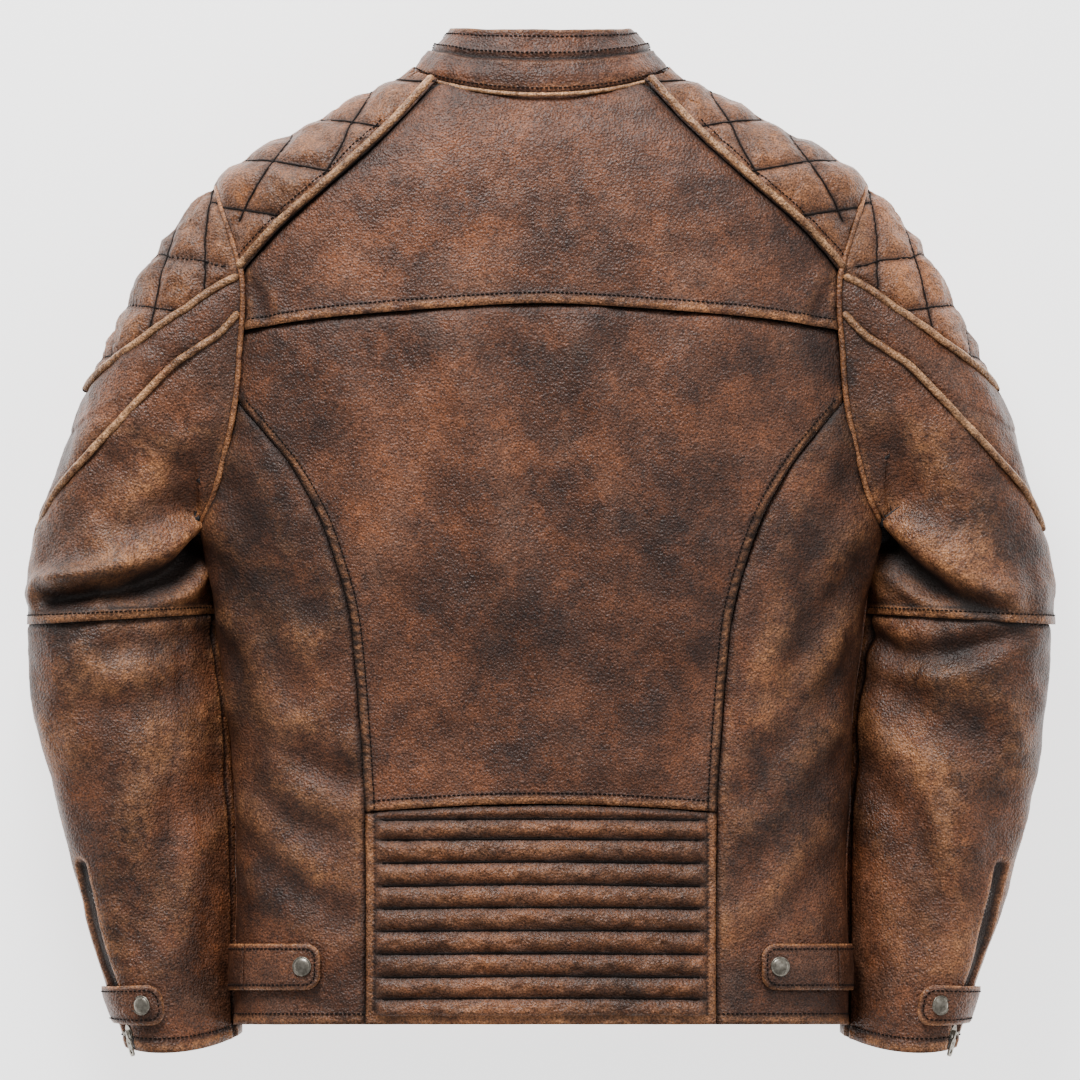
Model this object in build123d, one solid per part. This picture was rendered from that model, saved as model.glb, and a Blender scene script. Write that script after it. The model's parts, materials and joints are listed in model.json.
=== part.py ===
from build123d import *
import math
import os

# A leather riding jacket, hanging as it is worn. Millimetres. The wearer faces +Y with the right arm at +X,
# and the origin is the top of the hanger loop at the nape. Right-hand pieces are drawn, left-hand ones are mirrored.

# Leather and lining
SHELL = 2.5                       # outer leather with its backing
LINING_DEPTH, LINING = 8.0, 1.2   # lining's distance behind the outer face, and its thickness
SEAM_GAP = 0.8                    # slit between a moving panel and the fixed one beside it

# Torso, level by level: height, half width, back face, front face
EXPONENT = 2.6                    # 2 is an ellipse, larger is boxier
TORSO = [(14, 88, 3, 52), (-1, 119, -6, 74), (-20, 153, -12, 85), (-46, 203, -20, 95), (-62, 228, -23, 98),
         (-124, 232, -30, 107), (-169, 235, -32, 113), (-304, 239, -32, 113), (-350, 229, -30, 113),
         (-420, 218, -28, 113), (-652, 215, -30, 113)]
TORSO_SIDES, TUBE_SIDES = 36, 24  # flats round the torso, and round a sleeve or the collar
HEM_Z = TORSO[-1][0]
MID_Y = 42                        # side seams lie in this plane
COLLAR = [(-60, 98, 53), (-10, 96, 51), (14, 91, 47), (44, 63, 37)]   # height, half width, half depth
COLLAR_T = 3.5

# Seams, as points across (x) and up (z) on the right-hand side
RAGLAN = [(58, 14), (137, -59.5), (195, -110), (208.5, -122)]
ARM_TOP = [(228, -62), (219, -92), (208.5, -122)]
ARM_MID = [(208.5, -122), (208.5, -169)]
ARM_BACK = [(208.5, -169), (211, -192), (214, -216)]
ARM_LOW = [(214, -216), (221, -257), (228, -287), (239, -304)]
PRINCESS = [(214, -216), (169, -278), (141, -355), (128, -425), (123, -503)]
YOKE_ARCH, LUMBAR_ARCH = -143, -497   # height of the yoke and lumbar seams at the centre back
CHEST_Z = -169                        # front chest seam, level with the yoke's ends
FOLD_TOP, FOLD_HEM = (11, -186), (160, -653)   # ends of the line an open front folds along

# Sleeve, section by section: inner point, outer point, half depth. Sections fan round the underarm, then run down.
SLEEVE = [((216, -296), (206, -66), 42), ((239, -304), (228, -62), 43), ((240, -306), (262, -101), 47),
          ((240, -309), (289, -146), 51), ((239, -314), (313, -196), 53), ((238, -322), (332, -243), 53),
          ((236, -333), (346, -288), 52), ((233, -348), (355, -330), 51), ((231, -364), (358, -372), 50),
          ((226, -430), (353, -432), 48), ((225, -450), (350, -452), 47.5), ((222, -490), (341, -490), 46),
          ((219, -544), (326, -544), 43), ((215, -656), (290, -666), 36)]
HEAD, FLEX, UPPER, ELBOW, FOREARM, CUFF = 0, 2, 5, 8, 10, 12

# Zips
ZIP_SLOT = 6.0                    # half width of the opening in the leather
CHAIN_GAP, CHAIN_W, CHAIN_T = 0.9, 2.3, 2.4
CHAIN_Z = -3.6                    # chain's middle below the leather's face
TAPE_W, CUFF_TAPE_W, TAPE_T = 9.0, 2.6, 0.6
SLIDER_W, SLIDER_L, PLATE_T, PLATE_CLEAR, WEB = 9.2, 12.0, 1.2, 0.3, 1.2
PIN_R, BARREL_R, BARREL_W, PIN_RUN = 0.8, 1.4, 3.0, 0.06
EAR_GAP, EAR_T, PIVOT_Z = 3.6, 1.2, 0.7
PULL_W, PULL_L, CUFF_PULL_L, PULL_T, EYE_R = 6.5, 26.0, 17.0, 1.2, 1.6

# Straps and snaps
STRAP_T, STRAP_OFF = 2.2, 3.2     # strap thickness, and its distance off the leather
SNAP_R, SNAP_T, SHANK_R = 7.0, 2.0, 1.8
SOCKET_R, STUD_R, STUD_PLAY = 5.0, 3.0, 0.5
SNAP_SINK = 0.1                   # cap and socket stand this far off the strap's faces


def power(value, exponent):
    return math.copysign(abs(value) ** exponent, value)


def torso_ring(level, grow):
    z, half_width, back, front = level
    a, b, mid = half_width + grow, (front - back) / 2 + grow, (front + back) / 2
    turns = [2 * math.pi * i / TORSO_SIDES for i in range(TORSO_SIDES)]
    return [(a * power(math.cos(t), 2 / EXPONENT), mid + b * power(math.sin(t), 2 / EXPONENT), z) for t in turns]


def skin(rings):
    """Triangles joining each ring of points to the next."""
    faces = []
    for near, far in zip(rings, rings[1:]):
        for i in range(len(near)):
            j = (i + 1) % len(near)
            faces.append(Face(Wire.make_polygon([near[i], near[j], far[i]])))
            faces.append(Face(Wire.make_polygon([near[j], far[j], far[i]])))
    return faces


def block(rings):
    caps = [Face(Wire.make_polygon(ring)) for ring in (rings[0], rings[-1])]
    return Solid(Shell(skin(rings) + caps))


def tube(outer, inner):
    caps = [Face(Wire.make_polygon(outer[i]), [Wire.make_polygon(inner[i])]) for i in (0, -1)]
    return Solid(Shell(skin(outer) + skin(inner) + caps))


def torso_body(grow, levels=TORSO):
    return block([torso_ring(level, grow) for level in levels])


def torso_shell(outer, inner, levels=TORSO):
    return tube([torso_ring(level, outer) for level in levels], [torso_ring(level, inner) for level in levels])


def torso_level(z):
    for upper, lower in zip(TORSO, TORSO[1:]):
        if lower[0] <= z <= upper[0]:
            share = (upper[0] - z) / (upper[0] - lower[0])
            return [u + (v - u) * share for u, v in zip(upper, lower)]


def torso_point(x, z, side):
    """Outer face of the torso at (x, z): side -1 is the back, 1 the front."""
    _, a, back, front = torso_level(z)
    bulge = (1 - min(1, abs(x) / a) ** EXPONENT) ** (1 / EXPONENT)
    return Vector(x, (back + front) / 2 + side * (front - back) / 2 * bulge, z)


def torso_normal(x, z, side):
    step = 1.0
    across = torso_point(x + step, z, side) - torso_point(x - step, z, side)
    up = torso_point(x, z + step, side) - torso_point(x, z - step, side)
    normal = across.cross(up).normalized()
    return normal if normal.Y * side > 0 else -normal


def line(points):
    return Polyline(*[(x, 0, z) for x, z in points])


def arch(half_width, end_z, middle_z):
    steps = [i / 5 for i in range(-5, 6)]
    return line([(half_width * t, middle_z + (end_z - middle_z) * t * t) for t in steps])


def flip(points):
    """The same points on the other side, in reverse order."""
    return [(-x, z) for x, z in reversed(points)]


def prism(edges, low_y, high_y):
    """Solid whose outline in the XZ plane is the closed chain of edges."""
    outline = Face(Wire([edge for piece in edges for edge in piece.edges()]))
    if outline.normal_at().Y < 0:
        outline = -outline
    return Pos(0, low_y, 0) * extrude(outline, amount=high_y - low_y, dir=(0, 1, 0))


def save(name, *shapes):
    solids = [solid for shape in shapes for solid in shape.solids()]
    export_step(Compound(children=solids) if len(solids) > 1 else solids[0], f"parts/{name}.step")


def save_pair(name, *shapes):
    save(f"{name}_right", *shapes)
    save(f"{name}_left", *[mirror(shape, about=Plane.YZ) for shape in shapes])


BACK, FRONT = -60, 160


def torso_panels():
    shell = torso_shell(0, -SHELL)
    shell = shell - block([collar_ring(level, 0) for level in COLLAR])
    save("back_yoke", shell & prism([
        line(RAGLAN), line(ARM_MID), arch(208.5, -169, YOKE_ARCH), line(flip(ARM_MID)), line(flip(RAGLAN)),
        line([(-58, 14), (-58, 20), (58, 20), (58, 14)])], BACK, MID_Y))
    save("back_panel", shell & prism([
        arch(208.5, -169, YOKE_ARCH), line(flip(ARM_BACK)[::-1]), line(flip(PRINCESS)[::-1]),
        arch(123, -503, LUMBAR_ARCH), line(PRINCESS), line(ARM_BACK)], BACK, MID_Y))
    save("lumbar_panel", shell & prism([
        arch(123, -503, LUMBAR_ARCH), line([(-123, -503), (-123, HEM_Z - 1), (123, HEM_Z - 1), (123, -503)])],
        BACK, MID_Y))
    outside = [(123, -503), (123, HEM_Z - 1), (260, HEM_Z - 1), (260, -304), (239, -304)]
    save_pair("side_back", shell & prism([line(PRINCESS), line(outside), line(ARM_LOW)], BACK, MID_Y))
    above = [(228, -62), (245, -40), (245, 30), (58, 30), (58, 14)]
    save_pair("shoulder", shell & prism([line(RAGLAN), line(ARM_TOP), line(above)], BACK, FRONT))
    chest = [(208.5, CHEST_Z), (ZIP_SLOT, CHEST_Z), (ZIP_SLOT, 14), (58, 14)]
    save_pair("front_chest", shell & prism([line(RAGLAN), line(ARM_MID), line(chest)], MID_Y, FRONT))
    side = [(260, HEM_Z - 1), (260, -304), (239, -304)]
    fold = [(208.5, CHEST_Z), (ZIP_SLOT, CHEST_Z), (ZIP_SLOT, FOLD_TOP[1]), FOLD_TOP, FOLD_HEM]
    save_pair("front_side", shell & prism([line(ARM_BACK), line(fold + side), line(ARM_LOW)], MID_Y, FRONT))
    flap_top = (FOLD_TOP[0] - SEAM_GAP, FOLD_TOP[1] - SEAM_GAP)
    flap_hem = (FOLD_HEM[0] - SEAM_GAP, FOLD_HEM[1])
    flap = [(ZIP_SLOT, flap_top[1]), flap_top, flap_hem, (ZIP_SLOT, HEM_Z - 1), (ZIP_SLOT, flap_top[1])]
    save_pair("front_flap", (shell & prism([line(flap)], MID_Y, FRONT)) - slot_cutter(HAND_ZIP, HAND_LENGTH))
    body = [level for level in TORSO if level[0] <= -90]
    lining = torso_shell(-LINING_DEPTH, -LINING_DEPTH - LINING, body)
    save("back_lining", lining & (Pos(0, MID_Y - 102, -400) * Box(360, 200, 700)))


def collar_ring(level, grow):
    z, half_x, half_y = level
    turns = [2 * math.pi * i / TUBE_SIDES for i in range(TUBE_SIDES)]
    return [((half_x + grow) * math.cos(t), MID_Y + (half_y + grow) * math.sin(t), z) for t in turns]


def collar():
    band = tube([collar_ring(level, -0.1) for level in COLLAR], [collar_ring(level, -COLLAR_T) for level in COLLAR])
    slope = make_face(Plane.YZ * Polyline((44, 46), (94, -3), (160, -3), (160, 60), (44, 60), (44, 46)))
    opening = Pos(0, 120, 0) * Box(2 * ZIP_SLOT, 100, 300)
    save("collar", band - extrude(slope, amount=120, both=True) - torso_body(-SHELL) - opening)


def sleeve_plane(index):
    (xi, zi), (xo, zo), _ = SLEEVE[index]
    return Plane(origin=((xi + xo) / 2, MID_Y, (zi + zo) / 2), x_dir=(xo - xi, 0, zo - zi), z_dir=(zi - zo, 0, xo - xi))


def sleeve_radii(index, grow):
    (xi, zi), (xo, zo), depth = SLEEVE[index]
    return math.hypot(xo - xi, zo - zi) / 2 + grow, depth + grow


def sleeve_tube(first, last, outer, inner):
    turns = [2 * math.pi * i / TUBE_SIDES for i in range(TUBE_SIDES)]
    def rings(grow):
        return [[sleeve_point(i, t, grow) for t in turns] for i in range(first, last + 1)]
    return tube(rings(outer), rings(inner))


def sleeve_point(index, angle, grow):
    """Point on a sleeve section: angle 0 is the outer edge, 90 degrees the back."""
    a, b = sleeve_radii(index, grow)
    return sleeve_plane(index).from_local_coords((a * math.cos(angle), -b * math.sin(angle), 0))


def sleeves():
    outside = prism([line(ARM_TOP), line(ARM_MID), line(ARM_BACK), line(ARM_LOW),
                     line([(239, -304), (300, -304), (300, -62), (228, -62)])], BACK, FRONT)
    save_pair("sleeve_head", sleeve_tube(HEAD, FLEX, 0, -SHELL) & outside)
    save_pair("sleeve_flex", sleeve_tube(FLEX, UPPER, 0, -SHELL))
    save_pair("sleeve_upper", sleeve_tube(UPPER, ELBOW, 0, -SHELL))
    save_pair("elbow_flex", sleeve_tube(ELBOW, FOREARM, 0, -SHELL))
    save_pair("forearm", sleeve_tube(FOREARM, CUFF + 1, 0, -SHELL) - slot_cutter(CUFF_ZIP, CUFF_LENGTH + 34))


def zip_plane(low, high, normal):
    """Plane at the middle of a zip: y runs from low to high, z out of the leather."""
    along = (high - low).normalized()
    across = along.cross(normal).normalized()
    return Plane(origin=(low + high) / 2, x_dir=across, z_dir=across.cross(along))


def shift(plane, distance):
    return Plane(origin=plane.from_local_coords((0, distance, 0)), x_dir=plane.x_dir, z_dir=plane.z_dir)


def placed(plane, shape):
    return plane.location * shape


def slot_cutter(plane, length):
    return placed(plane, Box(2 * ZIP_SLOT, length, 16))


def zip_half(plane, length, side, tape_w=TAPE_W):
    chain = Pos(side * (CHAIN_GAP + CHAIN_W / 2), 0, CHAIN_Z) * Box(CHAIN_W, length, CHAIN_T)
    tape = Pos(side * (CHAIN_GAP + CHAIN_W + tape_w / 2), 0, CHAIN_Z) * Box(tape_w, length, TAPE_T)
    return placed(plane, chain + tape)


def slider(plane):
    gap = CHAIN_T + 2 * PLATE_CLEAR
    top = CHAIN_Z + gap / 2 + PLATE_T / 2
    plate = Box(SLIDER_W, SLIDER_L, PLATE_T).edges().filter_by(Axis.Z)
    plate = fillet(plate, 2.5)
    body = Pos(0, 0, top) * plate + Pos(0, 0, CHAIN_Z - gap / 2 - PLATE_T / 2) * plate
    body += Pos(0, 0, CHAIN_Z) * Box(WEB, SLIDER_L - 4, gap + 0.2)
    ear_base = top + PLATE_T / 2 - 0.2
    ear_height = PIVOT_Z + BARREL_R - ear_base
    for side in (-1, 1):
        body += Pos(side * (EAR_GAP + EAR_T) / 2, 0, ear_base + ear_height / 2) * Box(EAR_T, 3, ear_height)
    body += Pos(0, 0, PIVOT_Z) * Rot(0, 90, 0) * Cylinder(PIN_R, EAR_GAP + EAR_T)
    return placed(plane, body)


def puller(plane, length=PULL_L):
    """Tab hanging from a slider's pin, along the plane's -y."""
    barrel = Rot(0, 90, 0) * Cylinder(BARREL_R, BARREL_W)
    tongue = Pos(0, -3, 0) * Box(BARREL_W, 6, PULL_T)
    tab = Pos(0, -2 - length / 2, 0) * fillet(Box(PULL_W, length - 4, PULL_T).edges().filter_by(Axis.Z), 2.4)
    body = barrel + tongue + tab - Rot(0, 90, 0) * Cylinder(PIN_R + PIN_RUN, 20)
    body -= Pos(0, -length + 3.6, 0) * Cylinder(EYE_R, 20)
    return placed(plane, Pos(0, 0, PIVOT_Z) * body)


def turned(plane):
    """The same plane with y reversed, for a puller that lies upwards."""
    return Plane(origin=plane.origin, x_dir=-plane.x_dir, z_dir=plane.z_dir)


def zips():
    save_pair("zip_upper", zip_half(UPPER_ZIP, UPPER_LENGTH, -1))
    save_pair("zip_lower", zip_half(LOWER_ZIP, LOWER_LENGTH, -1))
    top = shift(UPPER_ZIP, UPPER_LENGTH / 2 - SLIDER_L / 2)
    save("upper_slider", slider(top))
    save("upper_puller", puller(top))
    bottom = shift(LOWER_ZIP, -LOWER_LENGTH / 2 - SLIDER_L / 2 - SEAM_GAP)
    save("lower_slider", slider(bottom))
    save("lower_puller", puller(turned(bottom)))
    rows = (("hand", HAND_ZIP, HAND_LENGTH, TAPE_W, SLIDER_L / 2, PULL_L),
            ("cuff", CUFF_ZIP, CUFF_LENGTH, CUFF_TAPE_W, -SLIDER_L / 2 - SEAM_GAP, CUFF_PULL_L))
    for name, plane, length, tape_w, rest, pull in rows:
        low = shift(plane, -length / 2 + rest)
        save_pair(f"{name}_zip", zip_half(plane, length, 1, tape_w), zip_half(plane, length, -1, tape_w))
        save_pair(f"{name}_slider", slider(low))
        save_pair(f"{name}_puller", puller(low, pull))


def snap(plane):
    """Cap outside a strap, socket behind it and the shank between; plane's z = 0 is the strap's inner face."""
    cap = Pos(0, 0, STRAP_T + SNAP_SINK + SNAP_T / 2) * Cylinder(SNAP_R, SNAP_T)
    cap = fillet(cap.edges().sort_by(Axis.Z)[-1], SNAP_T * 0.7)
    shank = Pos(0, 0, STRAP_T / 2) * Cylinder(SHANK_R, STRAP_T + 1.2)
    socket_t = STRAP_OFF - 1.0
    socket = Pos(0, 0, -SNAP_SINK - socket_t / 2) * Cylinder(SOCKET_R, socket_t)
    recess = Pos(0, 0, -SNAP_SINK - socket_t / 2 - 0.6) * Cylinder(STUD_R + STUD_PLAY, socket_t)
    return placed(plane, cap + shank + (socket - recess))


def stud(plane, gap=STRAP_OFF):
    """Stud on the leather under a snap; plane's z = 0 is the strap's inner face, gap its height off the leather."""
    low, high = -gap - 0.4, -0.9
    return placed(plane, Pos(0, 0, (low + high) / 2) * Cylinder(STUD_R, high - low))


def shank_hole(plane):
    return placed(plane, Cylinder(SHANK_R + 0.05, 30))


def strap_outline(root, tip, half_height, radius):
    """Strap outline in the XZ plane from root to tip, its tip corners rounded."""
    middle, length = ((root[0] + tip[0]) / 2, (root[1] + tip[1]) / 2), math.dist(root, tip)
    tilt = math.degrees(math.atan2(tip[1] - root[1], tip[0] - root[0]))
    blank = Rectangle(length, 2 * half_height)
    blank = fillet(blank.vertices().group_by(Axis.X)[-1], radius)
    return Plane.XZ * Pos(middle[0], middle[1]) * Rot(0, 0, tilt) * blank


def side_straps():
    levels = [level for level in TORSO if level[0] <= -420]
    sheet = torso_shell(STRAP_OFF + STRAP_T, STRAP_OFF, levels)
    outline = strap_outline(SIDE_ROOT, SIDE_TIP, SIDE_HALF, 10)
    blank = Pos(0, BACK, 0) * extrude(outline, amount=SIDE_ROOT_Y - BACK, dir=(0, 1, 0))
    plane = SIDE_SNAP
    save_pair("side_strap", (sheet & blank) - shank_hole(plane))
    save_pair("side_snap", snap(plane))
    save("strap_studs", stud(plane), mirror(stud(plane), about=Plane.YZ), stud(COLLAR_SNAP, COLLAR_GAP))


def cuff_tabs():
    sheet = sleeve_tube(CUFF, CUFF + 1, STRAP_OFF + STRAP_T, STRAP_OFF)
    outline = strap_outline(CUFF_ROOT, CUFF_TIP, CUFF_HALF, 9)
    blank = Pos(0, BACK, 0) * extrude(outline, amount=MID_Y + CUFF_ROOT_Y - BACK, dir=(0, 1, 0))
    save_pair("cuff_tab", (sheet & blank) - shank_hole(CUFF_SNAP))
    save_pair("cuff_snap", snap(CUFF_SNAP))
    save_pair("cuff_stud", stud(CUFF_SNAP))


def collar_tab():
    blank = fillet(Box(TAB_L, 2 * TAB_HALF, STRAP_T).edges().filter_by(Axis.Z).group_by(Axis.X)[0], 9)
    save("collar_tab", placed(COLLAR_TAB, Pos(0, 0, STRAP_T / 2) * blank) - shank_hole(COLLAR_SNAP))
    save("collar_snap", snap(COLLAR_SNAP))


def hanger_loop():
    """Flat leather loop inside the nape, its top inner edge at the origin."""
    outer = Pos(0, 0, -11) * Box(60, 1.6, 30)
    inner = Pos(0, 0, -8) * Box(48, 4, 16)
    outer = fillet(outer.edges().filter_by(Axis.Y), 6)
    return Pos(0, 2.2, 0) * (outer - inner)


# Where the zips and snaps lie
UPPER_LOW, UPPER_HIGH = -168, -52
UPPER_ZIP = zip_plane(torso_point(0, UPPER_LOW, 1), torso_point(0, UPPER_HIGH, 1), Vector(0, 1, 0))
UPPER_LENGTH = UPPER_HIGH - UPPER_LOW
LOWER_LOW, LOWER_HIGH = -636, -205
LOWER_ZIP = zip_plane(torso_point(0, LOWER_LOW, 1), torso_point(0, LOWER_HIGH, 1), Vector(0, 1, 0))
LOWER_LENGTH = LOWER_HIGH - LOWER_LOW
HAND_HIGH, HAND_LOW = (66, -420), (112, -560)
HAND_ZIP = zip_plane(torso_point(*HAND_LOW, 1), torso_point(*HAND_HIGH, 1), torso_normal(90, -490, 1))
HAND_LENGTH = math.dist(HAND_HIGH, HAND_LOW)
CUFF_ANGLE = math.radians(22)
CUFF_TOP, CUFF_END = sleeve_point(CUFF, CUFF_ANGLE, 0), sleeve_point(CUFF + 1, CUFF_ANGLE, 0)
CUFF_OUT = sleeve_point(CUFF, CUFF_ANGLE, 10) - CUFF_TOP
CUFF_ALONG = (CUFF_TOP - CUFF_END).normalized()
CUFF_ZIP = zip_plane(CUFF_END + CUFF_ALONG * 15, CUFF_TOP - CUFF_ALONG * 14, CUFF_OUT)
CUFF_LENGTH = (CUFF_TOP - CUFF_END).length - 29
SIDE_ROOT, SIDE_TIP, SIDE_HALF, SIDE_ROOT_Y = (222, -611), (151, -613), 15.5, 8
SIDE_SNAP_AT = (163, -612)
SIDE_SNAP_NORMAL = torso_normal(*SIDE_SNAP_AT, -1)
SIDE_SNAP = Plane(origin=torso_point(*SIDE_SNAP_AT, -1) + SIDE_SNAP_NORMAL * STRAP_OFF, z_dir=SIDE_SNAP_NORMAL)
CUFF_ROOT, CUFF_TIP, CUFF_HALF, CUFF_ROOT_Y = (312, -637), (262, -637), 12, 14


def cuff_snap_plane():
    share, angle = 0.76, math.radians(60)
    def point(turn, grow):
        top, end = sleeve_point(CUFF, turn, grow), sleeve_point(CUFF + 1, turn, grow)
        return top + (end - top) * share
    around = point(angle + 0.02, STRAP_OFF) - point(angle - 0.02, STRAP_OFF)
    along = sleeve_point(CUFF, angle, STRAP_OFF) - sleeve_point(CUFF + 1, angle, STRAP_OFF)
    normal = around.cross(along).normalized()
    return Plane(origin=point(angle, STRAP_OFF), z_dir=normal if normal.Y < 0 else -normal)


CUFF_SNAP = cuff_snap_plane()
TAB_L, TAB_HALF, TAB_X = 66, 13, 3
TAB_Y, TAB_Z, COLLAR_SNAP_X, COLLAR_GAP = 96.8, -26, 24, 4.8
COLLAR_TAB = Plane(origin=(TAB_X, TAB_Y, TAB_Z), x_dir=(-1, 0, 0), z_dir=(0, 1, 0))
COLLAR_SNAP = Plane(origin=(COLLAR_SNAP_X, TAB_Y, TAB_Z), x_dir=(-1, 0, 0), z_dir=(0, 1, 0))

os.makedirs("parts", exist_ok=True)
torso_panels()
collar()
sleeves()
zips()
side_straps()
cuff_tabs()
collar_tab()
save("hanger_loop", hanger_loop())
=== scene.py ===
import json
import math

import bpy
import numpy as np
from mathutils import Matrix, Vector
from mathutils.geometry import delaunay_2d_cdt


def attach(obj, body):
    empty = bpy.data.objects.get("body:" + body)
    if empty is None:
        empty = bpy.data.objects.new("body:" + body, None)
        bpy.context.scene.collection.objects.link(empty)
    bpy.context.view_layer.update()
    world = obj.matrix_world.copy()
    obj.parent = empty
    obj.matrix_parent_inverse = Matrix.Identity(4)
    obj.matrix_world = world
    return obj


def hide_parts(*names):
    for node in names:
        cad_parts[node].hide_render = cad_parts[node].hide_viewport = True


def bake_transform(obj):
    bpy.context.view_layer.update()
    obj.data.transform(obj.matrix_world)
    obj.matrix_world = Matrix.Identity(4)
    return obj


# The looks of a leather riding jacket over its CAD frame. Design numbers are millimetres in the row frame:
# x to the wearer's right, y the way the wearer faces, z up. Meshes are in metres.
# Seams and folds are drawn as (x, z) points seen from behind, on the right-hand side, and are mirrored.

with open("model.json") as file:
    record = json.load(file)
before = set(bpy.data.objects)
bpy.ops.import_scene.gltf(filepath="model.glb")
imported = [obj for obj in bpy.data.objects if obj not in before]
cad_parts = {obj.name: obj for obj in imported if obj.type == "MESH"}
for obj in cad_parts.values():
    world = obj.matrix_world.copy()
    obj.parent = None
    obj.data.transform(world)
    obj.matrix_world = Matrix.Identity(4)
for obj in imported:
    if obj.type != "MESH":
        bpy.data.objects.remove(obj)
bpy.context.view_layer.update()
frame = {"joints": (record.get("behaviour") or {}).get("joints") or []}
MM = 0.001
SIDES = ((1, "right"), (-1, "left"))

# ---------------------------------------------------------------- torso
EXPONENT = 2.6
LEVELS = np.array([(24, 74, 8, 50), (14, 88, 3, 56), (0, 117, -6, 74), (-20, 153, -12, 85), (-29, 169, -16, 89),
                   (-47, 204, -20, 95), (-62, 227, -23, 98), (-90, 231, -27, 103), (-124, 232, -30, 108),
                   (-169, 235, -32, 113), (-215, 237, -33, 113), (-304, 239, -32, 113),
                   (-350, 229, -31, 113), (-420, 218, -28, 113), (-540, 213, -28, 113),
                   (-652, 215, -30, 113), (-670, 215, -30, 113)], float)
HEM = -652.0
MID_Y = 42.0
TURN = 230.0                      # flat width given to a quarter turn of the torso

SOFTEN = 5.0                      # how far the torso levels are blurred into each other
_zs = np.arange(-670.0, 25.0, 1.0)
_reach = 18
_kernel = np.exp(-0.5 * (np.arange(-_reach, _reach + 1) / SOFTEN) ** 2)
_kernel /= _kernel.sum()


def _smooth_column(values):
    padded = np.concatenate([np.full(_reach, values[0]), values, np.full(_reach, values[-1])])
    return np.convolve(padded, _kernel, "valid")


_cols = [_smooth_column(np.interp(_zs, LEVELS[::-1, 0], LEVELS[::-1, i])) for i in (1, 2, 3)]


def section(z):
    """Half width, back y and front y of the torso at heights z."""
    return [np.interp(z, _zs, column) for column in _cols]


_q = np.linspace(0, math.pi / 2, 400)
_tx = np.sin(_q) ** (2 / EXPONENT)
_ty = np.cos(_q) ** (2 / EXPONENT)
_len = np.concatenate([[0], np.cumsum(np.hypot(np.diff(_tx), 0.31 * np.diff(_ty)))])
_len /= _len[-1]


def torso_uv(x, z, front=False):
    """Flat coordinates (u, z) of the torso point seen at (x, z): u is 0 at centre back, TURN at the side."""
    a, _, _ = section(z)
    u = np.interp(np.abs(x) / a, _tx, _len) * TURN
    u = 2 * TURN - u if front else u
    return np.sign(x + 1e-9) * u


def torso_xyz(u, z, grow=0.0):
    """Torso surface point for flat coordinates, arrays in, n x 3 out."""
    a, back, front = section(z)
    a = a + grow
    b = (front - back) / 2 + grow
    mid = (front + back) / 2
    side = np.sign(u + 1e-9)
    w = np.abs(u) / TURN
    near = np.where(w > 1, 2 - w, w)
    x = np.interp(near, _len, _tx) * a * side
    y = np.interp(near, _len, _ty) * b
    return np.stack([x, mid + np.where(w > 1, y, -y), z + 0 * x], 1)


# ---------------------------------------------------------------- curves
def dense(points, step=2.0, closed=False):
    p = np.array(points, float)
    if closed:
        p = np.vstack([p, p[:1]])
    out = []
    for a, b in zip(p[:-1], p[1:]):
        n = max(1, int(round(np.linalg.norm(b - a) / step)))
        out.append(a + (b - a) * (np.arange(n) / n)[:, None])
    out.append(p[-1:])
    line = np.vstack(out)
    return line[:-1] if closed else line


def smooth(points, step=2.0, closed=False):
    """Catmull-Rom curve through the points, sampled every step."""
    p = np.array(points, float)
    if closed:
        p = np.vstack([p[-1:], p, p[:2]])
    else:
        p = np.vstack([2 * p[0] - p[1], p, 2 * p[-1] - p[-2]])
    out = []
    for i in range(1, len(p) - 2):
        a, b, c, d = p[i - 1:i + 3]
        n = max(1, int(round(np.linalg.norm(c - b) / step)))
        t = (np.arange(n) / n)[:, None]
        out.append(0.5 * (2 * b + (c - a) * t + (2 * a - 5 * b + 4 * c - d) * t ** 2
                          + (3 * b - a - 3 * c + d) * t ** 3))
    out.append(p[-2:-1])
    line = np.vstack(out)
    return line[:-1] if closed else line


def even(line, step):
    """The same line resampled at equal steps."""
    line = np.asarray(line, float)
    length = np.concatenate([[0], np.cumsum(np.linalg.norm(np.diff(line, axis=0), axis=1))])
    n = max(2, int(round(length[-1] / step)) + 1)
    at = np.linspace(0, length[-1], n)
    return np.stack([np.interp(at, length, line[:, i]) for i in range(line.shape[1])], 1)


def mirror(points, side):
    """Points on the right-hand side, or flipped to the left when side is -1."""
    p = np.array(points, float)
    p[:, 0] *= side
    return p


def distance(points, line):
    """Distance from each point to the nearest sample of the line."""
    best = np.full(len(points), 1e9)
    for start in range(0, len(line), 400):
        part = line[start:start + 400]
        d = ((points[:, None, :] - part[None]) ** 2).sum(2).min(1)
        best = np.minimum(best, d)
    return np.sqrt(best)


def averaged(rows):
    """Each row replaced by the mean of the five around it."""
    padded = np.vstack([rows[:1]] * 2 + [rows] + [rows[-1:]] * 2)
    return np.stack([np.convolve(column, np.ones(5) / 5, "valid") for column in padded.T], 1)


def bump(d, width):
    """1 on a line and falling off with distance d."""
    return np.exp(-(d / width) ** 2)


def soft_step(d, edge, soft):
    """1 inside a distance and 0 outside it, with a soft edge."""
    return 1 / (1 + np.exp((d - edge) / soft))


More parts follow.
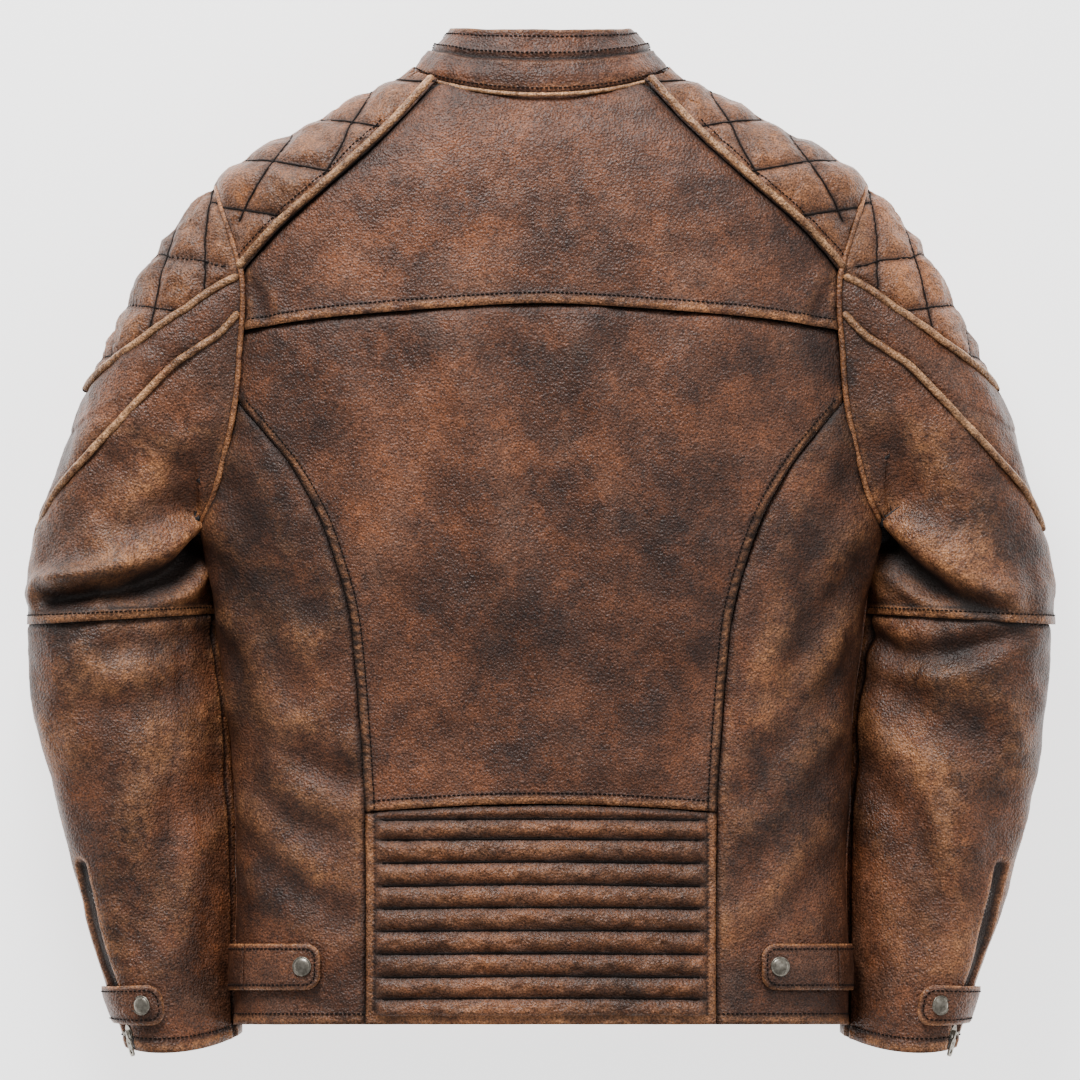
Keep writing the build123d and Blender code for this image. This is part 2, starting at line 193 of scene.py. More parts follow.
# ---------------------------------------------------------------- seams, seen from behind
RAGLAN = [(72, 10), (104, -24), (139, -56), (176, -88), (196, -109), (208.5, -124)]
RAGLAN_FRONT = [(74, 0)] + RAGLAN[1:]
ARM = [(228, -62), (222.5, -82), (216.5, -101), (209.5, -126), (208.5, -151), (210.5, -178), (213.5, -215),
       (220.5, -250), (229, -282), (239, -304)]
YOKE = [(209.5, -166), (150, -157), (57, -149.5), (0, -147), (-57, -149.5), (-150, -157), (-209.5, -166)]
PRINCESS = [(213.5, -215), (195, -236), (176, -260), (156, -295), (142, -334), (133.5, -369), (128.5, -418),
            (125, -467), (123, -503), (122.5, -560), (122.5, HEM)]
LUMBAR = [(123, -503), (60, -499), (0, -497.5), (-60, -499), (-123, -503)]
NECK_BACK = [(72, 10), (60, 7), (30, 1), (0, 0), (-30, 1), (-60, 7), (-72, 10)]
ARM_UP = ARM[:4]
ARM_YOKE = [ARM[3], (208.5, -151), (209.5, -166)]
ARM_SIDE = [(209.5, -166), (210.5, -178), (213.5, -215)]
ARM_DOWN = ARM[6:]

SHOULDER_QUILT = [[(118, 8), (74, 8)], [(162, -21), (140, -20), (106, -24.5)],
                  [(214, -50), (194, -47.5), (170, -51), (141, -56)], [(240, -78), (208, -82), (176, -87)],
                  [(112, 8), (132, -21), (139, -36), (152, -58)],
                  [(164, -20), (188, -49), (202, -71), (211, -90)]]
SLEEVE_QUILT = [[(232, -76), (219, -80)], [(285, -110), (253, -115), (219, -122)],
                [(302, -149), (278, -149), (252, -153)], [(322, -187), (303, -184), (290, -184)],
                [(229, -64), (235, -93), (235, -124), (236, -143)], [(256, -94), (267, -128), (275, -166)],
                [(290, -142), (299, -165), (303, -190)]]
PIPE_1 = [(211, -128), (231, -139), (253, -153.5), (279, -172), (304, -191), (318, -207), (330, -232)]
PIPE_2 = [(211.5, -153), (228, -170), (258, -191), (293, -227.5), (323, -260), (340, -281), (351, -306),
          (356, -330)]


# ---------------------------------------------------------------- meshes
def make(name, verts, faces, material, body=None, smooth_shade=True):
    """Mesh object in metres from millimetres. A name that a CAD node holds already gets _skin behind it."""
    if name in bpy.data.objects:
        name += "_skin"
    mesh = bpy.data.meshes.new(name)
    mesh.from_pydata((np.asarray(verts, float) * MM).tolist(), [], faces)
    mesh.update()
    if smooth_shade:
        mesh.polygons.foreach_set("use_smooth", np.ones(len(mesh.polygons), bool))
    obj = bpy.data.objects.new(name, mesh)
    bpy.context.scene.collection.objects.link(obj)
    mesh.materials.append(material)
    if body:
        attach(obj, body)
    return obj


def paint(obj, **values):
    for key, value in values.items():
        layer = obj.data.attributes.new(key, "FLOAT", "POINT")
        layer.data.foreach_set("value", np.clip(value, 0, 1).astype(np.float32))


def normals(verts, faces):
    v = np.asarray(verts, float)
    f = np.array([(a, b, c) for a, b, c, *_ in faces])
    n = np.cross(v[f[:, 1]] - v[f[:, 0]], v[f[:, 2]] - v[f[:, 0]])
    if len(faces[0]) == 4:
        g = np.array([(a, c, d) for a, b, c, d in faces])
        m = np.cross(v[g[:, 1]] - v[g[:, 0]], v[g[:, 2]] - v[g[:, 0]])
        f, n = np.vstack([f, g]), np.vstack([n, m])
    out = np.zeros_like(v)
    for i in range(3):
        np.add.at(out, f[:, i], n)
    return out / np.maximum(np.linalg.norm(out, axis=1), 1e-9)[:, None]


def outward(base, faces, centre=(0.0, MID_Y, 0.0)):
    """The faces, turned together so that they look away from an upright axis through the centre."""
    away = (base - np.array(centre)) * np.array([1, 1, 0])
    if (normals(base, faces) * away).sum() < 0:
        return [f[::-1] for f in faces]
    return faces


def fill(outline, spacing=4.0):
    """Triangles filling a flat outline, its points first."""
    low, high = outline.min(0), outline.max(0)
    xs = np.arange(low[0], high[0], spacing)
    rows = np.arange(low[1], high[1], spacing * 0.866)
    grid = np.array([(x + (spacing / 2 if j % 2 else 0), z) for j, z in enumerate(rows) for x in xs])
    inside = np.zeros(len(grid), bool)
    for a, b in zip(outline, np.roll(outline, -1, 0)):
        hit = (a[1] > grid[:, 1]) != (b[1] > grid[:, 1])
        cross = a[0] + (grid[:, 1] - a[1]) * (b[0] - a[0]) / (b[1] - a[1] if b[1] != a[1] else 1e-9)
        inside ^= hit & (grid[:, 0] < cross)
    grid = grid[inside]
    grid = grid[distance(grid, outline) > spacing * 0.55]
    points = np.vstack([outline, grid])
    n = len(outline)
    edges = [(i, (i + 1) % n) for i in range(n)]
    got = delaunay_2d_cdt([tuple(p) for p in points], edges, [], 1, 1e-4)
    verts = np.array([tuple(v) for v in got[0]])
    return verts, [tuple(f) for f in got[2]]


def wander(p, scale, seed, octaves=3):
    """Smooth value between about -1 and 1 that wanders over space."""
    total = np.zeros(len(p))
    local = np.random.default_rng(seed)
    for o in range(octaves):
        for _ in range(5):
            direction = local.normal(size=3)
            direction /= np.linalg.norm(direction)
            phase = local.uniform(0, 2 * math.pi)
            total += np.sin(p @ direction * 2 * math.pi * 2 ** o / scale + phase) / 2 ** o
    return total / (5 ** 0.5 * 1.6)


class Relief:
    """Height, wear and painted shade over a surface, gathered feature by feature."""

    def __init__(self, base):
        self.base = base
        self.height = np.zeros(len(base))
        self.wear = np.zeros(len(base))
        self.dirt = np.zeros(len(base))

    def crease(self, line, depth, width, ridge=0.35, dirt=1.0):
        d = distance(self.base, line)
        self.height += -depth * bump(d, width) + depth * ridge * bump(d - 2.1 * width, width)
        # painted shade darkens the floor of the crease
        self.dirt += dirt * bump(d, width * 0.9)
        self.wear += 0.6 * ridge * bump(d - 2.0 * width, width)
        return d

    def ridge(self, line, height, width, wear=0.5):
        d = distance(self.base, line)
        self.height += height * bump(d, width)
        self.wear += wear * bump(d, width * 0.8)

    def edge(self, line, depth=2.4, width=4.0, dirt=0.9, wear=0.30):
        """Leather rolling down into a seam, with shade painted into the seam and a broad painted shade beside
        it.
        """
        d = distance(self.base, line)
        self.height -= depth * np.exp(-d / width)
        self.dirt += dirt * bump(d, 2.2) + 0.30 * dirt * np.exp(-d / 9.0)
        self.wear += wear * bump(d - 5.0, 3.0)

    def band(self, line, width=6.5, height=1.1):
        """Lapped, folded edge of a seam: a low step along the line, with shade painted along the foot of the
        step.
        """
        d = distance(self.base, line)
        self.height += height * soft_step(d, width, 0.5)
        self.wear += 0.75 * soft_step(d, width, 0.8)
        self.dirt += 0.7 * bump(d - width - 1.0, 1.3)

    def puff(self, lines, height, width):
        """Padding held down along the lines, with shade painted into the grooves along them."""
        d = np.min([distance(self.base, line) for line in lines], 0)
        self.height += height * (1 - np.exp(-d / width))
        self.dirt += 0.95 * bump(d, 1.9)
        self.wear += 0.40 * (1 - np.exp(-d / width))
        return d

    def ripples(self, size, scale, seed, stretch=(1, 1, 1)):
        self.height += size * wander(self.base * np.array(stretch), scale, seed)


SIM_FRAMES = 20
MOST_SWELL = 3.2


def pad(relief, faces, held, name):
    """Swell a quilted sheet with a short cloth simulation, held down where it is sewn."""
    relief.normal = normals(relief.base, faces)
    start = relief.base + relief.normal * relief.height[:, None]
    obj = make(name + "_sim", start, faces, THREAD)
    group = obj.vertex_groups.new(name="sewn")
    for weight, chosen in ((1.0, held < 1.6), (0.35, (held >= 1.6) & (held < 3.0))):
        group.add([int(i) for i in np.nonzero(chosen)[0]], weight, "REPLACE")
    cloth_mod = obj.modifiers.new("cloth", "CLOTH")
    settings = cloth_mod.settings
    settings.quality = 4
    settings.mass = 0.2
    settings.tension_stiffness = 12
    settings.compression_stiffness = 12
    settings.shear_stiffness = 4
    settings.bending_stiffness = 0.4
    settings.air_damping = 4
    settings.shrink_min = -0.018
    settings.vertex_group_mass = "sewn"
    settings.use_pressure = True
    settings.uniform_pressure_force = 4.0
    settings.effector_weights.gravity = 0
    cloth_mod.collision_settings.use_collision = False
    cloth_mod.point_cache.frame_start = 1
    cloth_mod.point_cache.frame_end = SIM_FRAMES
    scene = bpy.context.scene
    for frame_number in range(1, SIM_FRAMES + 1):
        scene.frame_set(frame_number)
    result = obj.evaluated_get(bpy.context.evaluated_depsgraph_get())
    co = np.empty(len(start) * 3, np.float32)
    result.data.vertices.foreach_get("co", co)
    move = co.reshape(-1, 3) / MM - start
    length = np.linalg.norm(move, axis=1)
    move *= (np.minimum(length, MOST_SWELL) / np.maximum(length, 1e-6))[:, None]
    move[held < 1.0] = 0
    relief.base = relief.base + move
    bpy.data.objects.remove(obj)
    scene.frame_set(1)


def finish_sheet(name, relief, faces, material, body="torso", nodes=None, thickness=1.6, lined=True):
    """The sheet with its relief and thickness. It stands for these CAD nodes, or for the one of its name."""
    relief.normal = normals(relief.base, faces)
    verts = relief.base + relief.normal * relief.height[:, None]
    obj = make(name, verts, faces, material, body)
    paint(obj, wear=relief.wear, dirt=relief.dirt)
    solid = obj.modifiers.new("thickness", "SOLIDIFY")
    solid.thickness = thickness * MM
    solid.offset = -1
    if lined:
        obj.data.materials.append(LINING)
        solid.material_offset = 1
    nodes = [name] if nodes is None else nodes
    if nodes:
        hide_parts(*nodes)
    return obj


def stand_for(obj, slot, *nodes):
    """The piece replaces these CAD nodes, which are hidden; obj and slot are not used."""
    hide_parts(*nodes)


def laid(relief, line, lift=0.45):
    """The line moved on to the finished relief."""
    found = []
    for start in range(0, len(line), 200):
        part = line[start:start + 200]
        found.append(((part[:, None] - relief.base[None]) ** 2).sum(2).argmin(1))
    found = np.concatenate(found)
    return line + averaged(relief.normal[found] * (relief.height[found] + lift)[:, None])


def combine(parts):
    verts, faces, base = [], [], 0
    for v, f in parts:
        verts.append(np.asarray(v, float))
        faces += [tuple(i + base for i in face) for face in f]
        base += len(v)
    return np.vstack(verts), faces


def cord(line, radius, sides=8, flat=1.0):
    """Cord swept along a line, its ends closed, as vertices and faces."""
    line = np.asarray(line, float)
    n = len(line)
    tangent = np.gradient(line, axis=0)
    tangent /= np.maximum(np.linalg.norm(tangent, axis=1), 1e-9)[:, None]
    up = np.array([0.0, 1.0, 0.0])
    across = np.cross(tangent, up)
    across /= np.maximum(np.linalg.norm(across, axis=1), 1e-6)[:, None]
    out = np.cross(across, tangent)
    turns = np.arange(sides) * 2 * math.pi / sides
    r = np.full(n, radius)
    r[0] = r[-1] = radius * 0.4
    ring = np.cos(turns)[None, :, None] * across[:, None]
    ring = ring + flat * np.sin(turns)[None, :, None] * out[:, None]
    verts = (line[:, None] + ring * r[:, None, None]).reshape(-1, 3)
    faces = []
    for i in range(n - 1):
        for j in range(sides):
            k = (j + 1) % sides
            faces.append((i * sides + j, i * sides + k, (i + 1) * sides + k, (i + 1) * sides + j))
    faces += [tuple(range(sides))[::-1], tuple((n - 1) * sides + j for j in range(sides))]
    return verts, faces


def tube(name, line, radius, material, body=None, flat=1.0, wear=0.8):
    verts, faces = cord(line, radius, flat=flat)
    obj = make(name, verts, faces, material, body)
    paint(obj, wear=np.full(len(verts), wear), dirt=np.zeros(len(verts)))
    return obj


def threads(name, relief, lines, body=None, radius=0.62):
    """Dark quilting thread sunk in the grooves of a padded piece, drawn as an unbroken near-black cord that
    also stands in for the shade in the groove.
    """
    parts = [cord(laid(relief, even(line, 1.5), 0.1), radius, 6) for line in lines if len(line) > 3]
    verts, faces = combine(parts)
    return make(name, verts, faces, THREAD, body)


# ---------------------------------------------------------------- materials
def new_material(name):
    mat = bpy.data.materials.new(name)
    mat.use_nodes = True
    tree = mat.node_tree
    tree.nodes.clear()
    return mat, tree


def node(tree, kind, inputs=None, **settings):
    n = tree.nodes.new(kind)
    for key, value in settings.items():
        setattr(n, key, value)
    for key, value in (inputs or {}).items():
        if hasattr(value, "is_output"):
            tree.links.new(value, n.inputs[key])
        else:
            n.inputs[key].default_value = value
    return n


def ramp(tree, fac, stops):
    n = node(tree, "ShaderNodeValToRGB", {"Fac": fac})
    elements = n.color_ramp.elements
    while len(elements) < len(stops):
        elements.new(0.5)
    for e, (at, colour) in zip(elements, stops):
        e.position = at
        e.color = (*colour, 1) if len(colour) == 3 else colour
    return n.outputs["Color"]


def grey(a, b):
    return [(a, (0, 0, 0)), (b, (1, 1, 1))]


def mix(tree, fac, a, b, blend="MIX"):
    n = node(tree, "ShaderNodeMix", data_type="RGBA", blend_type=blend)
    for socket, value in ((n.inputs[0], fac), (n.inputs[6], a), (n.inputs[7], b)):
        if hasattr(value, "is_output"):
            tree.links.new(value, socket)
        else:
            socket.default_value = value if isinstance(value, float) else (*value, 1)
    return n.outputs[2]


def maths(tree, operation, a, b=0.0, clamp=False):
    n = node(tree, "ShaderNodeMath", operation=operation, use_clamp=clamp)
    for socket, value in ((n.inputs[0], a), (n.inputs[1], b)):
        if hasattr(value, "is_output"):
            tree.links.new(value, socket)
        else:
            socket.default_value = value
    return n.outputs[0]


def noise(tree, coords, scale, detail=3.0, rough=0.55):
    return node(tree, "ShaderNodeTexNoise", {"Vector": coords, "Scale": scale, "Detail": detail,
                                             "Roughness": rough}).outputs["Fac"]


def bump_node(tree, height, strength, depth):
    settings = {"Height": height, "Strength": strength, "Distance": depth}
    return node(tree, "ShaderNodeBump", settings).outputs["Normal"]


def surface(tree, colour, rough, normal, more):
    """Principled surface joined to the material's output."""
    settings = {"Base Color": colour, "Roughness": rough, "Normal": normal, **more}
    bsdf = node(tree, "ShaderNodeBsdfPrincipled", settings)
    out = node(tree, "ShaderNodeOutputMaterial")
    tree.links.new(bsdf.outputs[0], out.inputs[0])


def leather(name, dark, mid, red, tan=(0.42, 0.185, 0.075), shine=0.42):
    """Waxed leather: mottled, rubbed to tan where it is worn, painted nearly black with shade in creases, seams
    and grooves, lightened in patches with a painted grey sheen, pebbled all over.
    """
    mat, tree = new_material(name)
    coords = node(tree, "ShaderNodeTexCoord").outputs["Object"]
    wear = node(tree, "ShaderNodeAttribute", attribute_name="wear").outputs["Fac"]
    dirt = node(tree, "ShaderNodeAttribute", attribute_name="dirt").outputs["Fac"]
    patches = ramp(tree, noise(tree, coords, 13, 7, 0.68), grey(0.36, 0.66))
    colour = mix(tree, patches, dark, mid)
    smoke = ramp(tree, noise(tree, coords, 6.5, 5, 0.6), [(0.36, (0.45, 0.43, 0.42)), (0.62, (1.12,) * 3)])
    rub = ramp(tree, noise(tree, coords, 34, 8, 0.74), grey(0.47, 0.66))
    colour = mix(tree, maths(tree, "MULTIPLY", rub, 0.62), colour, red)
    # painted sheen: patches lightened toward a grey sheen
    painted_sheen = ramp(tree, noise(tree, coords, 24, 6, 0.66), grey(0.52, 0.80))
    colour = mix(tree, maths(tree, "MULTIPLY", painted_sheen, 0.20), colour, (0.20, 0.14, 0.105))
    broken = maths(tree, "ADD", maths(tree, "MULTIPLY", noise(tree, coords, 90, 6, 0.75), 1.9), -0.55)
    worn = maths(tree, "MULTIPLY", wear, broken, True)
    colour = mix(tree, ramp(tree, worn, grey(0.08, 0.70)), colour, tan)
    cloud = ramp(tree, noise(tree, coords, 170, 4, 0.7), [(0.33, (0.55, 0.53, 0.52)), (0.68, (1.5, 1.5, 1.5))])
    colour = mix(tree, 0.55, colour, cloud, "MULTIPLY")
    colour = mix(tree, 0.8, colour, smoke, "MULTIPLY")
    speck = ramp(tree, noise(tree, coords, 760, 2, 0.7), [(0.34, (0.20, 0.18, 0.17)), (0.66, (2.4, 2.4, 2.4))])
    colour = mix(tree, 0.70, colour, speck, "MULTIPLY")
    long = node(tree, "ShaderNodeMapping", {"Vector": coords, "Rotation": (0.3, 0.5, 0.4),
                                            "Scale": (34, 260, 300)})
    scratch = ramp(tree, noise(tree, long.outputs["Vector"], 1.0, 2, 0.5), grey(0.71, 0.76))
    patchy = ramp(tree, noise(tree, coords, 26, 2), grey(0.55, 0.68))
    colour = mix(tree, maths(tree, "MULTIPLY", scratch, maths(tree, "MULTIPLY", patchy, 0.4)), colour, tan)
    # painted shade: mixed to near black in creases, seams, grooves and recesses
    colour = mix(tree, maths(tree, "MULTIPLY", dirt, 0.95, True), colour, (0.008, 0.0045, 0.0035))
    cells = node(tree, "ShaderNodeTexVoronoi", {"Vector": coords, "Scale": 680.0}, feature="SMOOTH_F1")
    pebble = cells.outputs["Distance"]
    fine = noise(tree, coords, 480, 4, 0.62)
    soft = noise(tree, coords, 80, 4, 0.6)
    height = maths(tree, "ADD", maths(tree, "MULTIPLY", pebble, 0.85), maths(tree, "MULTIPLY", fine, 0.60))
    height = maths(tree, "ADD", height, maths(tree, "MULTIPLY", soft, 0.9))
    bumped = bump_node(tree, height, 0.85, 0.0011)
    rough = maths(tree, "ADD", maths(tree, "MULTIPLY", noise(tree, coords, 60, 5), 0.34), shine - 0.17)
    rough = maths(tree, "ADD", rough, maths(tree, "MULTIPLY", dirt, 0.25))
    surface(tree, colour, rough, bumped, {"Specular IOR Level": 0.42})
    return mat


def metal(name, light, dark, rough=0.35):
    """Antique metal, patchy between dark and rubbed bright."""
    mat, tree = new_material(name)
    coords = node(tree, "ShaderNodeTexCoord").outputs["Object"]
    cloud = ramp(tree, noise(tree, coords, 320, 4, 0.6), grey(0.35, 0.70))
    colour = mix(tree, cloud, dark, light)
    grain = noise(tree, coords, 1800, 3)
    bumped = bump_node(tree, grain, 0.12, 0.0001)
    roughness = maths(tree, "ADD", maths(tree, "MULTIPLY", cloud, -0.12), rough + 0.12)
    surface(tree, colour, roughness, bumped, {"Metallic": 1.0})
    return mat


def cloth(name, colour, weave=1400.0, rough=0.85):
    """Woven twill."""
    mat, tree = new_material(name)
    coords = node(tree, "ShaderNodeTexCoord").outputs["Object"]
    waves = [node(tree, "ShaderNodeTexWave", {"Vector": coords, "Scale": weave / 6.3, "Distortion": 0.4},
                  bands_direction=d).outputs["Fac"] for d in ("DIAGONAL", "Z")]
    height = maths(tree, "MULTIPLY", waves[0], waves[1])
    shade = ramp(tree, height, [(0.0, tuple(c * 0.5 for c in colour)), (1.0, tuple(c * 1.5 for c in colour))])
    bumped = bump_node(tree, height, 0.5, 0.0003)
    surface(tree, shade, rough, bumped, {"Specular IOR Level": 0.2})
    return mat


BODY = leather("body_leather", (0.040, 0.015, 0.008), (0.120, 0.044, 0.020), (0.200, 0.066, 0.024), shine=0.46)
QUILT = leather("quilted_leather", (0.065, 0.026, 0.012), (0.160, 0.062, 0.026), (0.280, 0.105, 0.036))
RIBBED = leather("ribbed_leather", (0.055, 0.022, 0.011), (0.140, 0.054, 0.024), (0.240, 0.085, 0.032))
SLEEVE = leather("sleeve_leather", (0.034, 0.014, 0.008), (0.105, 0.040, 0.019), (0.185, 0.062, 0.024))
PIPING = leather("piping_leather", (0.060, 0.024, 0.012), (0.150, 0.062, 0.028), (0.240, 0.095, 0.040),
                 (0.56, 0.31, 0.15), 0.38)
TRIM = leather("trim_leather", (0.045, 0.018, 0.010), (0.110, 0.043, 0.021), (0.180, 0.064, 0.026))
THREAD = cloth("thread", (0.010, 0.006, 0.005), 5000.0, 0.8)
LINING = cloth("lining_twill", (0.045, 0.040, 0.040))
TAPE = cloth("zip_tape", (0.012, 0.012, 0.013), 2600.0)
NICKEL = metal("antique_nickel", (0.36, 0.33, 0.28), (0.15, 0.135, 0.11))
TEETH = metal("dark_teeth", (0.22, 0.20, 0.18), (0.08, 0.07, 0.065), 0.30)


# ---------------------------------------------------------------- stitches
STITCH_PITCH, STITCH_LENGTH, STITCH_RADIUS, STITCH_LIFT = 3.3, 2.3, 0.5, 0.1


def stitches(name, line, body):
    """Row of thread stitches lying along a line."""
    line = even(line, 1.0)
    total = len(line)
    count = max(2, int(total / STITCH_PITCH))
    at = np.linspace(2, total - 3, count)
    index = np.arange(total)
    centre = np.stack([np.interp(at, index, line[:, i]) for i in range(3)], 1)
    ahead = np.stack([np.interp(at + 0.8, index, line[:, i]) for i in range(3)], 1)
    along = ahead - centre
    along /= np.maximum(np.linalg.norm(along, axis=1), 1e-9)[:, None]
    out = np.broadcast_to(np.array([0.0, -1.0, 0.0]), along.shape)
    across = np.cross(along, out)
    across /= np.maximum(np.linalg.norm(across, axis=1), 1e-9)[:, None]
    up = np.cross(across, along)
    rings, sides = [(-0.5, 0.35), (-0.3, 1.0), (0.3, 1.0), (0.5, 0.35)], 6
    verts, faces = [], []
    for c, t, s, u in zip(centre + out * STITCH_LIFT, along, across, up):
        base = len(verts)
        for shift, r in rings:
            for j in range(sides):
                angle = 2 * math.pi * j / sides
                ring = s * math.cos(angle) + u * math.sin(angle)
                verts.append(c + t * shift * STITCH_LENGTH + STITCH_RADIUS * r * ring)
        for i in range(len(rings) - 1):
            for j in range(sides):
                k = (j + 1) % sides
                faces.append((base + i * sides + j, base + i * sides + k, base + (i + 1) * sides + k,
                              base + (i + 1) * sides + j))
        faces.append(tuple(base + j for j in range(sides))[::-1])
        faces.append(tuple(base + 3 * sides + j for j in range(sides)))
    make(name, verts, faces, THREAD, body)


# ---------------------------------------------------------------- torso pieces
def torso_normal(u, z):
    across = torso_xyz(np.array([u + 0.5]), np.array([z])) - torso_xyz(np.array([u - 0.5]), np.array([z]))
    n = np.cross(across[0], [0.0, 0.0, 1.0])
    at = torso_xyz(np.array([u]), np.array([z]))[0]
    n *= np.sign(n[:2] @ (at[:2] - np.array([0, MID_Y])))
    return n / np.linalg.norm(n)


def torso_line(points, front=False, grow=0.0, curved=True):
    flat = smooth(points, 1.5) if curved else dense(points, 1.5)
    u, z = torso_uv(flat[:, 0], flat[:, 1], front), flat[:, 1]
    return torso_xyz(u, z, grow)


def flat_line(points, front=False, curved=True):
    flat = smooth(points, 3.0) if curved else dense(points, 3.0)
    return np.stack([torso_uv(flat[:, 0], flat[:, 1], front), flat[:, 1]], 1)


def ring_of(parts):
    """One closed outline from pieces that follow each other."""
    out = []
    for part in parts:
        for p in part:
            if not out or np.linalg.norm(np.array(out[-1]) - p) > 0.8:
                out.append(tuple(p))
    if np.linalg.norm(np.array(out[0]) - out[-1]) < 0.8:
        out.pop()
    return np.array(out)


def torso_sheet(outline, spacing=3.6):
    flat, faces = fill(outline, spacing)
    base = torso_xyz(flat[:, 0], flat[:, 1])
    return Relief(base), outward(base, faces)


def neg(points):
    """The line on the left-hand side, run the other way."""
    return [(-x, z) for x, z in points[::-1]]


def back_yoke():
    outline = ring_of([flat_line(NECK_BACK), flat_line(neg(RAGLAN))[::-1], flat_line(neg(ARM_YOKE))[::-1],
                       flat_line(YOKE)[::-1], flat_line(ARM_YOKE)[::-1], flat_line(RAGLAN)[::-1]])
    r, faces = torso_sheet(outline)
    for side in (1, -1):
        raglan = torso_line(mirror(RAGLAN, side))
        r.edge(raglan, 2.6, 4.0, 1.0, 0.2)
        arm = torso_line(mirror(ARM_YOKE, side))
        r.edge(arm, 1.6, 3.0)
        r.ridge(torso_line(mirror([(x - 5, z) for x, z in ARM_YOKE], side)), 0.9, 2.2, 0.5)
        r.ridge(torso_line(mirror([(197, -128), (190, -140), (181, -158)], side)), 1.3, 7, 0.25)
        r.crease(torso_line(mirror([(203, -132), (196, -146), (190, -160)], side)), 1.5, 5, 0.2, 0.25)
    r.edge(torso_line(NECK_BACK), 2.2, 3.5, 0.9, 0.2)
    seam = torso_line(YOKE)
    r.band(seam, 6.5, 1.2)
    r.ripples(1.0, 120, 3, (1, 1, 0.6))
    r.ripples(0.35, 34, 4)
    finish_sheet("back_yoke", r, faces, BODY)
    high = [(x, z + 7.6) for x, z in YOKE[1:-1]]
    ends = [[(206, -158.5)], [(-206, -158.5)]]
    stitches("yoke_stitches", laid(r, torso_line(ends[0] + high + ends[1])), "torso")


BACK_FOLDS = [([(-150, -190), (-110, -260), (-100, -330)], 1.5, 16),
              ([(-60, -180), (-40, -280), (-62, -420)], 1.6, 22),
              ([(30, -170), (52, -300), (40, -470)], 1.7, 20),
              ([(95, -190), (84, -290), (96, -380)], 1.5, 17),
              ([(-20, -330), (10, -410), (-6, -480)], 1.4, 22),
              ([(120, -320), (96, -400), (70, -470)], 1.3, 16)]


def back_panel():
    lower = [p for p in PRINCESS if p[1] >= -503]
    outline = ring_of([flat_line(YOKE), flat_line(neg(ARM_SIDE))[::-1], flat_line(neg(lower))[::-1],
                       flat_line(LUMBAR)[::-1], flat_line(lower)[::-1], flat_line(ARM_SIDE)[::-1]])
    r, faces = torso_sheet(outline)
    r.edge(torso_line(YOKE), 2.6, 3.2, 0.9, 0.1)
    for side in (1, -1):
        r.edge(torso_line(mirror(ARM_SIDE, side)), 1.6, 3.0)
        seam = torso_line(mirror(lower, side))
        r.band(seam, 5.0, 0.9)
        r.edge(seam, 1.6, 1.6, 0.8, 0.2)
    r.band(torso_line(LUMBAR), 6.0, 1.2)
    for points, size, width in BACK_FOLDS:
        r.ridge(torso_line(points), 1.5 * size, width, 0.12)
    r.ripples(1.1, 110, 11, (1.3, 1, 0.35))
    r.ripples(0.35, 30, 12)
    finish_sheet("back_panel", r, faces, BODY)
    for side, tag in SIDES:
        inner = [(x - 6.5, z + 1) for x, z in lower]
        stitches(f"princess_stitches_{tag}", laid(r, torso_line(mirror(inner, side))), "torso")
    stitches("lumbar_seam_stitches", laid(r, torso_line([(x * 0.965, z + 7.5) for x, z in LUMBAR])), "torso")


# Creases on the side backs: points, depth and width; shade is painted along each.
SIDE_FOLDS = {1: [([(222, -330), (196, -372), (168, -420)], 3.0, 11),
                  ([(215, -400), (180, -440), (150, -490)], 2.6, 12),
                  ([(205, -470), (170, -505), (140, -560)], 2.2, 12),
                  ([(214, -270), (190, -330), (180, -390)], 2.0, 12),
                  ([(200, -540), (168, -575), (150, -590)], 1.6, 10)],
              -1: [([(226, -330), (200, -362), (176, -420)], 2.6, 12),
                   ([(216, -392), (190, -452), (140, -480)], 3.0, 12),
                   ([(212, -450), (186, -500), (150, -520)], 2.6, 12),
                   ([(216, -280), (196, -330), (168, -360)], 2.2, 12),
                   ([(205, -520), (170, -560), (140, -575)], 1.8, 10)]}


def side_back(side, tag):
    hem = [(122.5, HEM), (170, HEM), (214.9, HEM)]
    seam = np.array([(TURN * side, z) for z in np.arange(HEM, -303, 4.0)])
    outline = ring_of([flat_line(mirror(PRINCESS, side)), flat_line(mirror(hem, side), curved=False), seam,
                       flat_line(mirror(ARM_DOWN[::-1], side))])
    r, faces = torso_sheet(outline)
    r.edge(torso_line(mirror(PRINCESS, side)), 2.2, 2.6, 0.9, 0.3)
    r.edge(torso_line(mirror(ARM_DOWN, side)), 1.6, 3.0)
    r.band(torso_line(mirror(hem, side), curved=False), 6.5, 1.0)
    for points, depth, width in SIDE_FOLDS[side]:
        r.crease(torso_line(mirror(points, side)), depth, width, 0.5, 0.28)
    # painted shade, growing towards the sides of the back next to the sleeves
    r.dirt += 0.34 * np.clip((np.abs(r.base[:, 0]) - 160) / 60, 0, 1)
    r.ripples(1.6, 80, 20 + side, (1, 1, 0.6))
    r.ripples(0.5, 26, 22 + side)
    finish_sheet(f"side_back_{tag}", r, faces, BODY)
    above = mirror([(x, HEM + 7.5) for x, _ in hem], side)
    stitches(f"hem_stitches_{tag}", laid(r, torso_line(above)), "torso")


RIBS = [-509, -523, -539, -555, -571, -587, -603, -619, -634.5]


